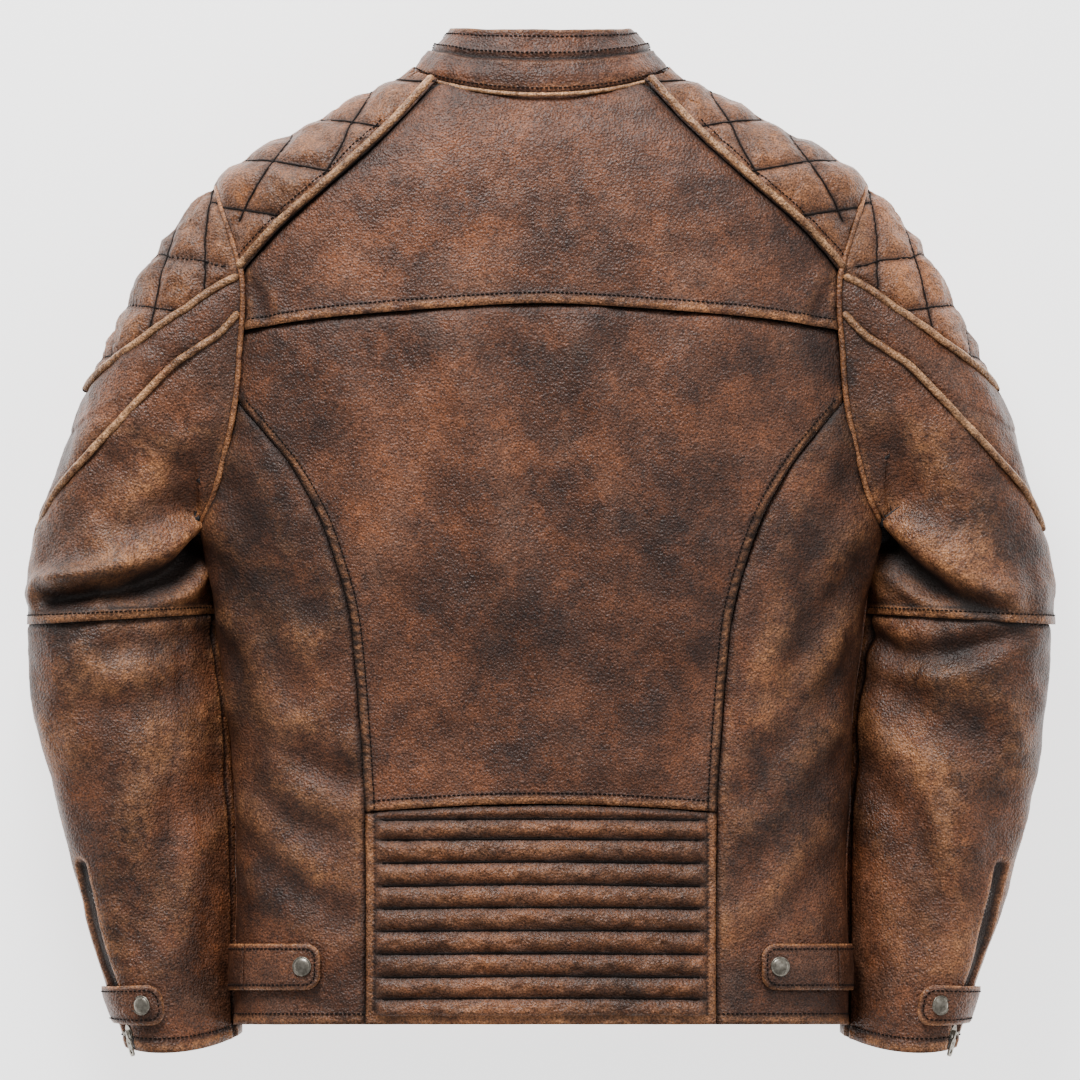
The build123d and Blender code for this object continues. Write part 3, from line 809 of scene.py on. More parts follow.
def lumbar_panel():
    edge = [(123, -503), (122.5, -560), (122.5, HEM)]
    hem = [(122.5, HEM), (0, HEM), (-122.5, HEM)]
    outline = ring_of([flat_line(LUMBAR), flat_line(mirror(edge, -1)),
                       flat_line(mirror(hem, -1), curved=False), flat_line(edge[::-1])])
    r, faces = torso_sheet(outline, 2.1)
    lines = [torso_line([(-117, z), (0, z + 1.0), (117, z)]) for z in RIBS]
    sides = [torso_line([(s * 117, -500), (s * 117, -570), (s * 117, -644)]) for s in (1, -1)]
    r.puff(lines + sides + [torso_line(LUMBAR)], 5.0, 3.4)
    for line in sides:
        d = distance(r.base, line)
        outer = np.abs(r.base[:, 0]) > 117
        r.height[outer] = 2.0 * np.exp(-((np.abs(r.base[outer, 0]) - 119.8) / 1.9) ** 2)
        # outside the ribs, painted shade only in a thin line along the side seam
        r.dirt[outer] = np.minimum(r.dirt[outer], 0.9 * bump(d[outer], 0.9))
        r.wear[outer] = 0.7
    low = r.base[:, 2] < -645
    r.height[low] = 0.9
    r.wear[low] = 0.8
    r.edge(torso_line(LUMBAR), 2.0, 2.4, 1.0, 0)
    r.height += 0.35 * wander(r.base * np.array([1, 1, 2.0]), 22, 31)
    held = np.min([distance(r.base, line) for line in lines + sides + [torso_line(LUMBAR)]], 0)
    held[(np.abs(r.base[:, 0]) > 116) | low] = 0
    pad(r, faces, held, "lumbar_panel")
    finish_sheet("lumbar_panel", r, faces, RIBBED)
    threads("lumbar_quilting", r, [line[4:-4] for line in lines], "torso", 0.85)


def shoulder(side, tag):
    top = np.array([(torso_uv(np.array([72.0]), np.array([10.0]))[0], 10), (TURN, 15),
                    (torso_uv(np.array([74.0]), np.array([0.0]), True)[0], 0)])
    top[:, 0] *= side
    outline = ring_of([flat_line(mirror(RAGLAN, side)), flat_line(mirror(ARM_UP[::-1], side)),
                       flat_line(mirror(ARM_UP, side), True), flat_line(mirror(RAGLAN_FRONT[::-1], side), True),
                       dense(top[::-1], 3.0)])
    r, faces = torso_sheet(outline, 2.2)
    borders = [torso_line(mirror(RAGLAN, side)), torso_line(mirror(RAGLAN_FRONT, side), True),
               torso_line(mirror(ARM_UP, side)), torso_line(mirror(ARM_UP, side), True)]
    quilting = [torso_line(mirror(line, side), front) for line in SHOULDER_QUILT for front in (False, True)]
    r.puff(quilting + borders, 4.6, 8.0)
    r.ripples(0.5, 30, 41)
    pad(r, faces, np.min([distance(r.base, line) for line in quilting + borders], 0), f"shoulder_{tag}")
    finish_sheet(f"shoulder_{tag}", r, faces, QUILT)
    threads(f"shoulder_quilting_{tag}", r, quilting, "torso", 0.75)
    beside = torso_line(mirror([(x + 6.6, z + 5.2) for x, z in RAGLAN[1:]], side))
    stitches(f"raglan_stitches_{tag}", laid(r, beside), "torso")


def front_body(side, tag):
    """Chest and side front in one sheet."""
    neck = [(74, 0), (60, -14), (40, -27), (20, -35), (6, -38)]
    centre = [(6, -38), (6, -300), (6, HEM)]
    hem = [(6, HEM), (120, HEM), (214.9, HEM)]
    arm = ARM[3:]
    seam = np.array([(TURN * side, z) for z in np.arange(HEM, -303, 4.0)])
    outline = ring_of([flat_line(mirror(neck, side), True), flat_line(mirror(centre, side), True, False),
                       flat_line(mirror(hem, side), True, False), seam,
                       flat_line(mirror(arm[::-1], side), True),
                       flat_line(mirror(RAGLAN_FRONT[::-1], side), True)])
    r, faces = torso_sheet(outline, 4.5)
    chest = torso_line(mirror([(6, -169), (110, -168), (209, -166)], side), True)
    r.band(chest, 6.0, 1.0)
    r.edge(torso_line(mirror(RAGLAN_FRONT, side), True), 2.4, 4.0)
    r.edge(torso_line(mirror(arm, side), True), 1.6, 3.0)
    r.band(torso_line(mirror(centre, side), True, curved=False), 5.5, 0.7)
    pocket = torso_line(mirror([(64, -414), (89, -490), (114, -566)], side), True)
    d = distance(r.base, pocket)
    r.height -= 3.4 * soft_step(d, 6.0, 0.5)
    r.wear += 0.6 * bump(d - 8.5, 1.8)
    # painted shade in the sunken pocket opening
    r.dirt += 0.9 * soft_step(d, 5.5, 0.5)
    r.band(torso_line(mirror(hem, side), True, curved=False), 6.5, 1.0)
    r.ripples(1.5, 100, 50 + side, (1, 1, 0.5))
    r.ripples(0.4, 28, 52 + side)
    nodes = [f"front_{part}_{tag}" for part in ("chest", "side", "flap")]
    obj = finish_sheet(f"front_body_{tag}", r, faces, BODY, None, nodes)
    bend_front(obj, side)


FOLD_TOP, FOLD_LOW = (11, -186), (160, -653)


def points_of(obj):
    co = np.empty(len(obj.data.vertices) * 3, np.float32)
    obj.data.vertices.foreach_get("co", co)
    return co.reshape(-1, 3) / MM


def bend_weights(obj):
    """Bakes the object's transform into its mesh."""
    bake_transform(obj)


def eased(w):
    w = np.clip(w, 0, 1)
    return w * w * (3 - 2 * w)


def bend_front(obj, side):
    """Weights for the slanting fold line are worked out but not applied; the transform is baked."""
    co = points_of(obj)
    x, z = np.abs(co[:, 0]), co[:, 2]
    fold_x = FOLD_TOP[0] + (FOLD_TOP[1] - z) * (FOLD_LOW[0] - FOLD_TOP[0]) / (FOLD_TOP[1] - FOLD_LOW[1])
    w = eased(((fold_x - x) * 0.95 + 8) / 20)
    w *= np.clip((FOLD_TOP[1] + 10 - z) / 14, 0, 1)
    w[co[:, 1] < MID_Y] = 0
    bend_weights(obj)


def torso_piping(side, tag):
    for name, seam in (("raglan_piping", RAGLAN), ("front_raglan_piping", RAGLAN_FRONT)):
        beside = mirror([(x + 2.4, z + 2.0) for x, z in seam], side)
        line = torso_line(beside, seam is RAGLAN_FRONT, grow=1.6)
        tube(f"{name}_{tag}", line, 2.8, PIPING, "torso", flat=0.75)


# ---------------------------------------------------------------- sleeves
# Sections from the armhole to the cuff: inner point, outer point, half depth. Section 0 is the armhole itself.
SECTIONS = np.array([(239, -304, 228, -62, 43), (237, -304, 262, -101, 47), (235, -307, 289, -146, 51),
                     (233, -311, 313, -196, 53), (230, -320, 332, -243, 53), (225.5, -333, 346, -288, 52),
                     (223, -348, 355, -330, 51), (222, -364, 358, -372, 50), (214.5, -430, 354, -432, 48),
                     (211.5, -490, 341, -490, 46), (210.0, -544, 326, -546, 43), (209.5, -600, 309, -606, 39),
                     (210, -657, 290, -667, 36)], float)
TUCK = 31.0                       # how far the inner edge lies forward of the outer edge
CUFF_DROP = 9.0                   # the cuff's back and front hang this much below its edges
ELBOW_K, CUFF_K = 7.0, 12.0
CUFF_ZIP_TURN, CUFF_ZIP_K = 22.0, 9.95


def sections_at(k):
    """Catmull-Rom between the sections."""
    k = np.clip(k, 0, len(SECTIONS) - 1.0)
    i = np.minimum(k.astype(int), len(SECTIONS) - 2)
    t = (k - i)[:, None]
    p = np.vstack([2 * SECTIONS[0] - SECTIONS[1], SECTIONS, 2 * SECTIONS[-1] - SECTIONS[-2]])
    a, b, c, d = p[i], p[i + 1], p[i + 2], p[i + 3]
    return 0.5 * (2 * b + (c - a) * t + (2 * a - 5 * b + 4 * c - d) * t ** 2 + (3 * b - a - 3 * c + d) * t ** 3)


_arm = smooth(ARM, 1.0)


def sleeve_xyz(k, turn, grow=0.0):
    """Sleeve surface: k is the section, turn the degrees round from the outer edge, 90 back, 270 front."""
    k, turn = np.broadcast_arrays(np.asarray(k, float), np.radians(np.asarray(turn, float)))
    s = sections_at(k.ravel())
    turn = turn.ravel()
    half = (s[:, 2:4] - s[:, 0:2]) / 2
    length = np.linalg.norm(half, axis=1)[:, None]
    centre = (s[:, 2:4] + s[:, 0:2]) / 2
    xz = centre + half * (1 + grow / length) * np.cos(turn)[:, None]
    xz[:, 1] -= CUFF_DROP * (np.clip(k.ravel() - 11, 0, 1) * np.abs(np.sin(turn))) ** 1.5
    tuck = np.clip((k.ravel() - 0.8) / 2.4, 0, 1)
    y = MID_Y - (s[:, 4] + grow) * np.sin(turn) + TUCK * tuck * (1 - np.cos(turn)) / 2
    ring = np.stack([xz[:, 0], y, xz[:, 1]], 1)
    low, high = ARM[-1][1], ARM[0][1]
    z = (low + high) / 2 + (high - low) / 2 * np.cos(turn)
    x = np.interp(-z, -_arm[:, 1], _arm[:, 0])
    u = torso_uv(x, z)
    back = torso_xyz(u, z)
    front = torso_xyz(2 * TURN - u, z)
    arm = np.where((np.sin(turn) >= 0)[:, None], back, front)
    share = np.clip(1 - k.ravel(), 0, 1)[:, None]
    return arm * share + ring * (1 - share)


def sleeve_ring(k, side, count=240):
    """Line round the sleeve at section k."""
    return mirror(sleeve_xyz(np.full(count, k), np.arange(count) * 360.0 / count), side)


def sleeve_line(points, side):
    """Line on the sleeve seen at these (x, z) points from behind, and its twin on the front."""
    flat = smooth(points, 2.0)
    ks, turns = np.meshgrid(np.arange(0, CUFF_K + 0.01, 0.04), np.arange(0, 181, 1.5), indexing="ij")
    grid = sleeve_xyz(ks, turns)
    nearest = [((grid[:, 0] - x) ** 2 + (grid[:, 2] - z) ** 2).argmin() for x, z in flat]
    found = averaged(np.stack([ks.ravel()[nearest], turns.ravel()[nearest]], 1))
    return [mirror(sleeve_xyz(found[:, 0], turn), side) for turn in (found[:, 1], 360 - found[:, 1])]


def sleeve_sheet(first, last, side):
    """Tube between two sections, with the section and the turn of each of its points."""
    around, spacing = 190, 2.4
    rough = sleeve_xyz(np.linspace(first, last, 60), np.zeros(60))
    length = np.linalg.norm(np.diff(rough, axis=0), axis=1).sum()
    rows = int(length / spacing) + 1
    ks = np.linspace(first, last, rows)
    turns = np.arange(around) * 360.0 / around
    base = mirror(sleeve_xyz(ks[:, None], turns[None]), side)
    faces = []
    for i in range(rows - 1):
        for j in range(around):
            m = (j + 1) % around
            faces.append((i * around + j, (i + 1) * around + j, (i + 1) * around + m, i * around + m))
    centre = np.repeat(base.reshape(rows, around, 3).mean(1), around, 0)
    if (normals(base, faces) * (base - centre)).sum() < 0:
        faces = [f[::-1] for f in faces]
    return Relief(base), faces, np.repeat(ks, around), np.tile(turns, rows)


# Sleeve creases above and below the elbow: points, depth, width and the painted shade along each; a negative
# depth makes a fold that stands up.
UPPER_FOLDS = {-1: [([(236, -310), (256, -334), (284, -346), (318, -352), (346, -356)], 11.0, 7.5, 1.0),
                    ([(237, -316), (254, -334), (276, -343)], 3.0, 13.0, 0.6),
                    ([(240, -300), (270, -312), (306, -330), (340, -342)], -3.5, 9.0, 0),
                    ([(236, -322), (262, -350), (300, -360)], 2.2, 6.0, 0.4),
                    ([(236, -262), (256, -288), (288, -302)], 2.6, 13.0, 0.25),
                    ([(300, -262), (322, -300), (344, -316)], 2.2, 14.0, 0.2)],
               1: [([(232, -304), (251, -326), (286, -352), (320, -368)], 10.0, 7.5, 0.95),
                   ([(238, -310), (252, -330), (272, -345)], 3.0, 12.0, 0.5),
                   ([(240, -292), (268, -308), (304, -332), (334, -348)], -3.5, 9.0, 0),
                   ([(234, -318), (246, -342), (262, -360)], 3.0, 7.0, 0.5),
                   ([(240, -250), (262, -276), (290, -300)], 2.8, 13.0, 0.25),
                   ([(296, -258), (322, -296), (346, -326)], 2.2, 14.0, 0.2)]}
FOREARM_FOLDS = {-1: [([(228, -374), (262, -384), (300, -392)], 3.2, 10.0, 0.3),
                      ([(226, -392), (270, -420), (330, -432)], 2.6, 15.0, 0.2),
                      ([(226, -480), (262, -520), (280, -590)], 2.2, 14.0, 0.2),
                      ([(300, -440), (318, -500), (300, -560)], 1.8, 16.0, 0.15)],
                 1: [([(228, -376), (252, -392), (296, -390), (336, -372)], 5.6, 8.0, 0.55),
                     ([(226, -396), (260, -430), (310, -448)], 2.8, 15.0, 0.25),
                     ([(226, -470), (258, -516), (270, -590)], 2.2, 14.0, 0.2),
                     ([(300, -450), (318, -510), (296, -570)], 1.8, 16.0, 0.15)]}


def pad_region(base):
    """True above the upper piping, where the sleeve head is quilted."""
    pipe = smooth(PIPE_1, 2.0)
    limit = np.interp(np.abs(base[:, 0]), pipe[:, 0], pipe[:, 1])
    return base[:, 2] > limit


def fold_sleeve(r, folds, side, ridge, fade):
    """Creases on the back and front of a sleeve, weaker towards the seam where fade falls to nothing."""
    level = r.height.copy()
    for points, depth, width, dark in folds:
        for line in sleeve_line(points, side):
            r.crease(line, depth, width, ridge if dark else 0, dark)
    r.height = level + (r.height - level) * np.clip(fade, 0.1, 1)


def upper_sleeve(side, tag):
    r, faces, k, turn = sleeve_sheet(0.0, ELBOW_K, side)
    pipe_1 = met(sleeve_line(PIPE_1, side))
    pipe_2 = met(sleeve_line(PIPE_2, side))
    quilting = [line for points in SLEEVE_QUILT for line in sleeve_line(points, side)]
    quilted = pad_region(r.base)
    d = np.min([distance(r.base, line) for line in quilting + pipe_1], 0)
    held = np.where(quilted & (k > 0.15), d, 0)
    r.height += np.where(quilted, 5.0 * (1 - np.exp(-d / 7.0)) - 2.6 * np.clip(k / 0.8, 0, 1), 0)
    # painted shade in the quilting grooves
    r.dirt += np.where(quilted, 0.95 * bump(d, 1.9), 0)
    r.wear += np.where(quilted, 0.5 * (1 - np.exp(-d / 7.0)), 0)
    for line in pipe_1 + pipe_2:
        e = distance(r.base, line)
        r.height -= 1.8 * bump(e, 4.0)
        # painted shade in the grooves beside the piping
        r.dirt += 0.8 * bump(e, 3.0)
    strip = ~quilted & (distance(r.base, np.vstack(pipe_1)) < 30) & (k < 5.5)
    r.height += np.where(strip, 0.8, 0)
    r.edge(sleeve_ring(0, side), 3.4, 4.0, 1.0, 0.25)
    r.band(sleeve_ring(ELBOW_K, side), 6.5, 0.9)
    fold_sleeve(r, UPPER_FOLDS[side], side, 0.55, (ELBOW_K - k) / 0.45)
    fade = np.clip(k / 0.6, 0, 1) * (1 - 0.75 * bump(turn - 180, 50))
    r.height += fade * 2.2 * wander(r.base * np.array([1, 1, 0.8]), 95, 60 + side) * np.where(quilted, 0.2, 1)
    r.height += fade * 0.6 * wander(r.base, 28, 62 + side)
    r.height *= np.clip(k / 0.4, 0, 1)
    pad(r, faces, held, f"upper_sleeve_{tag}")
    nodes = [f"sleeve_{part}_{tag}" for part in ("head", "flex", "upper")]
    obj = finish_sheet(f"upper_sleeve_{tag}", r, faces, SLEEVE, None, nodes)
    stitches(f"elbow_stitches_{tag}", laid(r, sleeve_ring(ELBOW_K - 0.13, side, 200)), f"upper_sleeve_{tag}")
    bend_arm(threads(f"sleeve_quilting_{tag}", r, quilting), side)
    obj.data.materials.append(QUILT)
    obj.data.materials.append(LINING)
    index = np.array([2 if quilted[list(f)].all() else 0 for f in faces], np.int32)
    obj.data.polygons.foreach_set("material_index", index)
    bend_arm(obj, side, k)
    sleeve_piping(side, tag, pipe_1, pipe_2)


def section_of(points, side):
    """Which sleeve section each point is nearest."""
    ks = np.arange(0, CUFF_K + 0.01, 0.1)
    count = 24
    flat = np.vstack([sleeve_ring(k, side, count) for k in ks])
    out = np.empty(len(points))
    for start in range(0, len(points), 500):
        part = points[start:start + 500]
        near = ((part[:, None] - flat[None]) ** 2).sum(2).argmin(1)
        out[start:start + 500] = ks[near // count]
    return out


def bend_arm(obj, side, k=None):
    """Works out each point's sleeve section, which is not used, and bakes the transform."""
    if k is None:
        k = section_of(points_of(obj), side)
    bend_weights(obj)


def met(pair):
    """Back and front twins of a line, cut where they first meet on the outer edge."""
    apart = np.nonzero(np.linalg.norm(pair[0] - pair[1], axis=1) > 0.5)[0]
    return [line[:apart[-1] + 2] for line in pair]


def push_out(line, side, amount):
    """The line moved away from the middle of the sleeve."""
    centre = np.stack([np.full(len(line), side * 285.0), np.full(len(line), MID_Y), line[:, 2] - 40], 1)
    out = line - centre
    out /= np.linalg.norm(out, axis=1)[:, None]
    return line + out * amount


def sleeve_piping(side, tag, *pipes):
    for number, (back, front) in enumerate(pipes, 1):
        line = push_out(even(np.vstack([back, front[-2::-1]]), 2.0), side, 0.7)
        piping = tube(f"sleeve_piping_{number}_{tag}", line, 2.7, PIPING, flat=0.8, wear=0.75)
        bend_arm(piping, side)
    armhole = sleeve_ring(0.0, side, 300) + np.array([side * 0.4, 0, 0])
    tube(f"armhole_seam_{tag}", armhole, 2.1, BODY, "torso", flat=0.9)


def forearm(side, tag):
    r, faces, k, turn = sleeve_sheet(ELBOW_K - 0.08, CUFF_K, side)
    back = mirror(sleeve_xyz(np.linspace(ELBOW_K, CUFF_K, 200), np.linspace(152, 150, 200)), side)
    opening = mirror(sleeve_xyz(np.linspace(CUFF_ZIP_K, CUFF_K, 160), np.full(160, CUFF_ZIP_TURN)), side)
    r.edge(sleeve_ring(ELBOW_K, side), 1.2, 2.0, 0.9, 0.1)
    r.height -= 0.9 * np.clip((ELBOW_K + 0.06 - k) / 0.1, 0, 1)
    r.band(sleeve_ring(CUFF_K, side), 6.5, 1.0)
    # painted shade along the crease of the back seam
    r.crease(back, 1.4, 2.0, 0.6, 0.9)
    d = distance(r.base, opening)
    r.height -= 3.6 * soft_step(d, 5.4, 0.4)
    # painted shade in the sunken zip opening
    r.dirt += 0.95 * soft_step(d, 5.0, 0.4)
    r.wear += 0.7 * bump(d - 7.4, 1.5)
    fold_sleeve(r, FOREARM_FOLDS[side], side, 0.5, (k - ELBOW_K) / 0.3)
    quiet = 1 - np.clip((k - 10.6) / 1.0, 0, 1) * 0.7
    quiet *= 1 - 0.75 * bump(turn - 180, 50)
    r.height += quiet * 2.0 * wander(r.base * np.array([1.2, 1.2, 0.5]), 90, 70 + side)
    r.height += quiet * 0.5 * wander(r.base, 26, 72 + side)
    nodes = [f"forearm_{tag}", f"elbow_flex_{tag}"]
    obj = finish_sheet(f"forearm_{tag}", r, faces, SLEEVE, None, nodes)
    bend_weights(obj)
    stitches(f"cuff_stitches_{tag}", laid(r, sleeve_ring(CUFF_K - 0.14, side, 200)), f"forearm_{tag}")


# ---------------------------------------------------------------- collar
COLLAR_RINGS = np.array([(-60, 98, 53), (-10, 96, 51), (14, 90, 47), (30, 76, 41.5), (44, 62, 37)], float)


def collar_xyz(v, turn, grow=0.0):
    """v runs from 0 at the foot to 1 at the top edge; turn is in degrees from the right, 90 at the front."""
    turn = np.radians(turn)
    front = np.clip(np.sin(turn), 0, 1)
    foot_z = neck_height(turn)
    top_z = 44 - 46 * front ** 1.6
    z = foot_z + (top_z - foot_z) * v
    rx = np.interp(z, COLLAR_RINGS[:, 0], COLLAR_RINGS[:, 1]) + grow
    ry = np.interp(z, COLLAR_RINGS[:, 0], COLLAR_RINGS[:, 2]) + grow
    return np.stack([rx * np.cos(turn), MID_Y + ry * np.sin(turn), z], 1)


def neck_height(turn):
    """Height of the neck seam around the collar."""
    front = -38 + 52 * np.abs(np.cos(turn)) ** 1.7
    back = -1 + 15 * np.abs(np.cos(turn)) ** 2.1
    return np.where(np.sin(turn) > 0, front, back)


def collar():
    turns = np.linspace(94, 446, 330)
    rows = np.linspace(0, 1, 26)
    base = np.vstack([collar_xyz(np.full(len(turns), v), turns) for v in rows])
    n = len(turns)
    faces = [(i * n + j, i * n + j + 1, (i + 1) * n + j + 1, (i + 1) * n + j)
             for i in range(len(rows) - 1) for j in range(n - 1)]
    faces = outward(base, faces)
    r = Relief(base)
    foot = collar_xyz(np.zeros(n), turns)
    seam = 0.56
    middle = collar_xyz(np.full(n, seam), turns)
    top = collar_xyz(np.ones(n), turns)
    r.edge(foot, 1.8, 2.4, 0.9, 0.3)
    # painted shade along the crease of the middle seam
    r.crease(middle, 2.2, 1.5, 0.5, 1.0)
    r.ridge(top, 0.9, 2.5, 0.9)
    v = np.repeat(rows, n)
    r.height += np.where(v < seam, 1.6 * np.sin(np.clip(v / seam, 0, 1) * math.pi), 0.9)
    r.wear += 0.12 * (v < 0.5)
    r.ripples(0.8, 30, 80)
    finish_sheet("collar", r, faces, BODY, thickness=3.0, lined=False)
    tube("neck_piping", collar_xyz(np.zeros(n), turns, 2.0), 1.5, PIPING, "torso", wear=0.9)
    edge = turns[6:-6]
    for part, v in (("foot", 0.10), ("seam", 0.64), ("top", 0.90)):
        stitches(f"collar_{part}_stitches", laid(r, collar_xyz(np.full(len(edge), v), edge)), "torso")


# ---------------------------------------------------------------- metal fittings
def unit(v):
    v = np.asarray(v, float)
    return v / np.linalg.norm(v)


def local_frame(slide, hinge, flip=1):
    """Origin, x, y, z of a zip slider, from the joints its slider and puller move on."""
    joints = {j["name"]: j for j in frame["joints"]}
    y = unit(joints[slide]["axis"]) * flip
    h = unit(joints[hinge]["axis"])
    z = unit(np.cross(y, h))
    x = np.cross(y, z)
    pivot = np.array(joints[hinge]["pos_m"], float) / MM
    return pivot - z * PIN_Z, x, y, z


def place(axes, local):
    """Local points put into a frame of origin, x, y, z."""
    o, x, y, z = axes
    local = np.asarray(local, float)
    return o + local[:, :1] * x + local[:, 1:2] * y + local[:, 2:3] * z


def solid_outline(outline, low, high, round_by=0.35):
    """Flat plate with softened edges from an outline, as vertices and faces."""
    outline = np.array(outline, float)
    centre = outline.mean(0)
    inner = centre + (outline - centre) * (1 - round_by / np.abs(outline - centre).max())
    n = len(outline)
    rows = [(inner, low), (outline, low + round_by), (outline, high - round_by), (inner, high)]
    verts = np.vstack([np.column_stack([p, np.full(n, z)]) for p, z in rows])
    faces = [(i * n + j, i * n + (j + 1) % n, (i + 1) * n + (j + 1) % n, (i + 1) * n + j)
             for i in range(3) for j in range(n)]
    faces += [tuple(range(n))[::-1], tuple(3 * n + j for j in range(n))]
    return verts, faces


def box_outline(x0, x1, y0, y1):
    return [(x0, y0), (x1, y0), (x1, y1), (x0, y1)]


def rounded_rect(width, length, radius, y=0.0, steps=5):
    """Outline centred on x = 0 and on this y."""
    out = []
    for cx, cy, start in ((1, 1, 0), (-1, 1, 90), (-1, -1, 180), (1, -1, 270)):
        for s in range(steps + 1):
            a = math.radians(start + 90 * s / steps)
            out.append((cx * (width / 2 - radius) + radius * math.cos(a),
                        y + cy * (length / 2 - radius) + radius * math.sin(a)))
    return out


def washer(outline, hole, low, high):
    """Plate with a hole: outline and hole have the same number of points."""
    n = len(outline)
    rows = [(hole, low), (outline, low), (outline, high), (hole, high)]
    verts = np.vstack([np.column_stack([p, np.full(n, z)]) for p, z in rows])
    faces = [(i * n + j, i * n + (j + 1) % n, (i + 1) % 4 * n + (j + 1) % n, (i + 1) % 4 * n + j)
             for i in range(4) for j in range(n)]
    return verts, faces


def rod(radius, length, z=0.0):
    """Round bar along x at this height."""
    sides = 14
    a = np.arange(sides) * 2 * math.pi / sides
    ends = [np.column_stack([np.full(sides, x), radius * np.cos(a), z + radius * np.sin(a)])
            for x in (-length / 2, length / 2)]
    faces = [(j, (j + 1) % sides, sides + (j + 1) % sides, sides + j) for j in range(sides)]
    faces += [tuple(range(sides))[::-1], tuple(sides + j for j in range(sides))]
    return np.vstack(ends), faces


PIN_Z = 0.7                       # the puller's pin above the origin of a slider


def slider(name, axes):
    """Slider body: two plates joined by a post, and the ears and pin that carry the puller."""
    shape = [(4.6 * math.sin(t), 6.0 * math.cos(t) * (0.82 if math.cos(t) < 0 else 1))
             for t in np.linspace(0, 2 * math.pi, 28, endpoint=False)]
    plates = [solid_outline(shape, -2.1, -0.8), solid_outline(shape, -6.4, -5.1)]
    post = solid_outline(rounded_rect(1.2, 7.5, 0.5), -5.2, -2.0, 0.1)
    ears = [solid_outline(box_outline(x - 0.6, x + 0.6, -1.6, 1.6), -1.0, 2.1, 0.25) for x in (-2.4, 2.4)]
    verts, faces = combine(plates + [post] + ears + [rod(0.8, 4.8, PIN_Z)])
    stand_for(make(name, place(axes, verts), faces, NICKEL, name, False), "zip_metal", name)


def puller(name, axes, length=26.0, flip=1):
    """Plain tab hanging from the slider's pin, with an eye at its end."""
    tab = rounded_rect(6.5, length - 4, 2.4, -2 - length / 2, 7)
    a = np.linspace(0, 2 * math.pi, len(tab), endpoint=False) + 0.05
    eye = [(1.6 * math.cos(t), -length + 3.6 + 1.6 * math.sin(t)) for t in a]
    barrel = rod(1.4, 3.0)
    neck = solid_outline(rounded_rect(3.0, 6.0, 0.8, -3.2), -0.6, 0.6, 0.2)
    rib = solid_outline(rounded_rect(2.2, length - 15, 1.0, -2.0 - (length - 6) / 2, 4), 0.5, 1.0, 0.3)
    verts, faces = combine([washer(tab, eye, -0.6, 0.6), barrel, neck, rib])
    verts[:, 1] *= flip
    verts[:, 2] += PIN_Z
    stand_for(make(name, place(axes, verts), faces, NICKEL, name, False), "zip_metal", name)


TOOTH_PITCH = 1.55


def teeth(name, body, axes, start, length, half=0, tape=6.0):
    """Zip chain along a slider's y axis: interlocked teeth on their tapes. half picks one side, 0 both."""
    parts, strips = [], []
    for i in range(int(length / TOOTH_PITCH)):
        s = 1 if i % 2 else -1
        if half and s != half:
            continue
        y = start + (i + 0.5) * TOOTH_PITCH
        x0, x1 = sorted((0.75 * s, 3.1 * s))
        parts.append(solid_outline(box_outline(x0, x1, y - 0.62, y + 0.62), -4.7, -2.5, 0.3))
    verts, faces = combine(parts)
    stand_for(make(name, place(axes, verts), faces, TEETH, body, False), "zip_chain", name)
    for s in ([half] if half else [1, -1]):
        n = max(2, int(length / 6))
        ys = np.linspace(start, start + length, n)
        profile = zip((1.0 * s, 3.4 * s, (3.4 + tape) * s), (-3.9, -3.4, -3.6))
        rows = [np.column_stack([np.full(n, x), ys, np.full(n, z)]) for x, z in profile]
        under = [row - np.array([0, 0, 0.7]) for row in rows]
        m = len(rows) * 2
        sides = [(a * n + i, a * n + i + 1, ((a + 1) % m) * n + i + 1, ((a + 1) % m) * n + i)
                 for a in range(m) for i in range(n - 1)]
        ends = [tuple(a * n for a in range(m)), tuple(a * n + n - 1 for a in range(m))[::-1]]
        strips.append((np.vstack(rows + under[::-1]), sides + ends))
    verts, faces = combine(strips)
    make(name + "_tape", place(axes, verts), faces, TAPE, body, False)


def zip_fittings(name, puller_name, axes, **pull):
    slider(name, axes)
    puller(puller_name, axes, **pull)


def zips():
    """Main zip in two runs, hand zips and cuff zips, each on the frame of its slider."""
    up = local_frame("upper_slider_travel", "upper_puller_swing", -1)
    down = tuple(np.array(v) for v in ((0, 113.0, -642.8), (-1.0, 0, 0), (0, 0, 1.0), (0, 1.0, 0)))
    zip_fittings("upper_slider", "upper_puller", up)
    zip_fittings("lower_slider", "lower_puller", down, flip=-1)
    for side, tag in SIDES:
        half = -side if up[1][0] < 0 else side
        teeth(f"zip_upper_{tag}", "torso", up, -127.0, 133.0, half)
        teeth(f"zip_lower_{tag}", f"front_flap_{tag}", down, 7.0, 447.0, -side)
        hand = local_frame(f"hand_slider_{tag}_travel", f"hand_puller_{tag}_swing")
        zip_fittings(f"hand_slider_{tag}", f"hand_puller_{tag}", hand)
        teeth(f"hand_zip_{tag}", f"front_flap_{tag}", hand, -6.0, 147.0, tape=5.0)
        cuff = local_frame(f"cuff_slider_{tag}_travel", f"cuff_puller_{tag}_swing")
        zip_fittings(f"cuff_slider_{tag}", f"cuff_puller_{tag}", cuff, length=17.0)
        teeth(f"cuff_zip_{tag}", f"forearm_{tag}", cuff, 5.0, 99.0, tape=2.6)


def turned(profile, centre, out, sides=40):
    """Round part about an axis: profile is (radius, height) from the top down."""
    out = unit(out)
    x = unit(np.cross(out, [0.0, 0.0, 1.0]))
    y = np.cross(out, x)
    verts, faces = [], []
    for r, h in profile:
        for j in range(sides):
            a = 2 * math.pi * j / sides
            verts.append(centre + x * r * math.cos(a) + y * r * math.sin(a) + out * h)
    for i in range(len(profile) - 1):
        for j in range(sides):
            k = (j + 1) % sides
            faces.append((i * sides + j, (i + 1) * sides + j, (i + 1) * sides + k, i * sides + k))
    return verts, faces


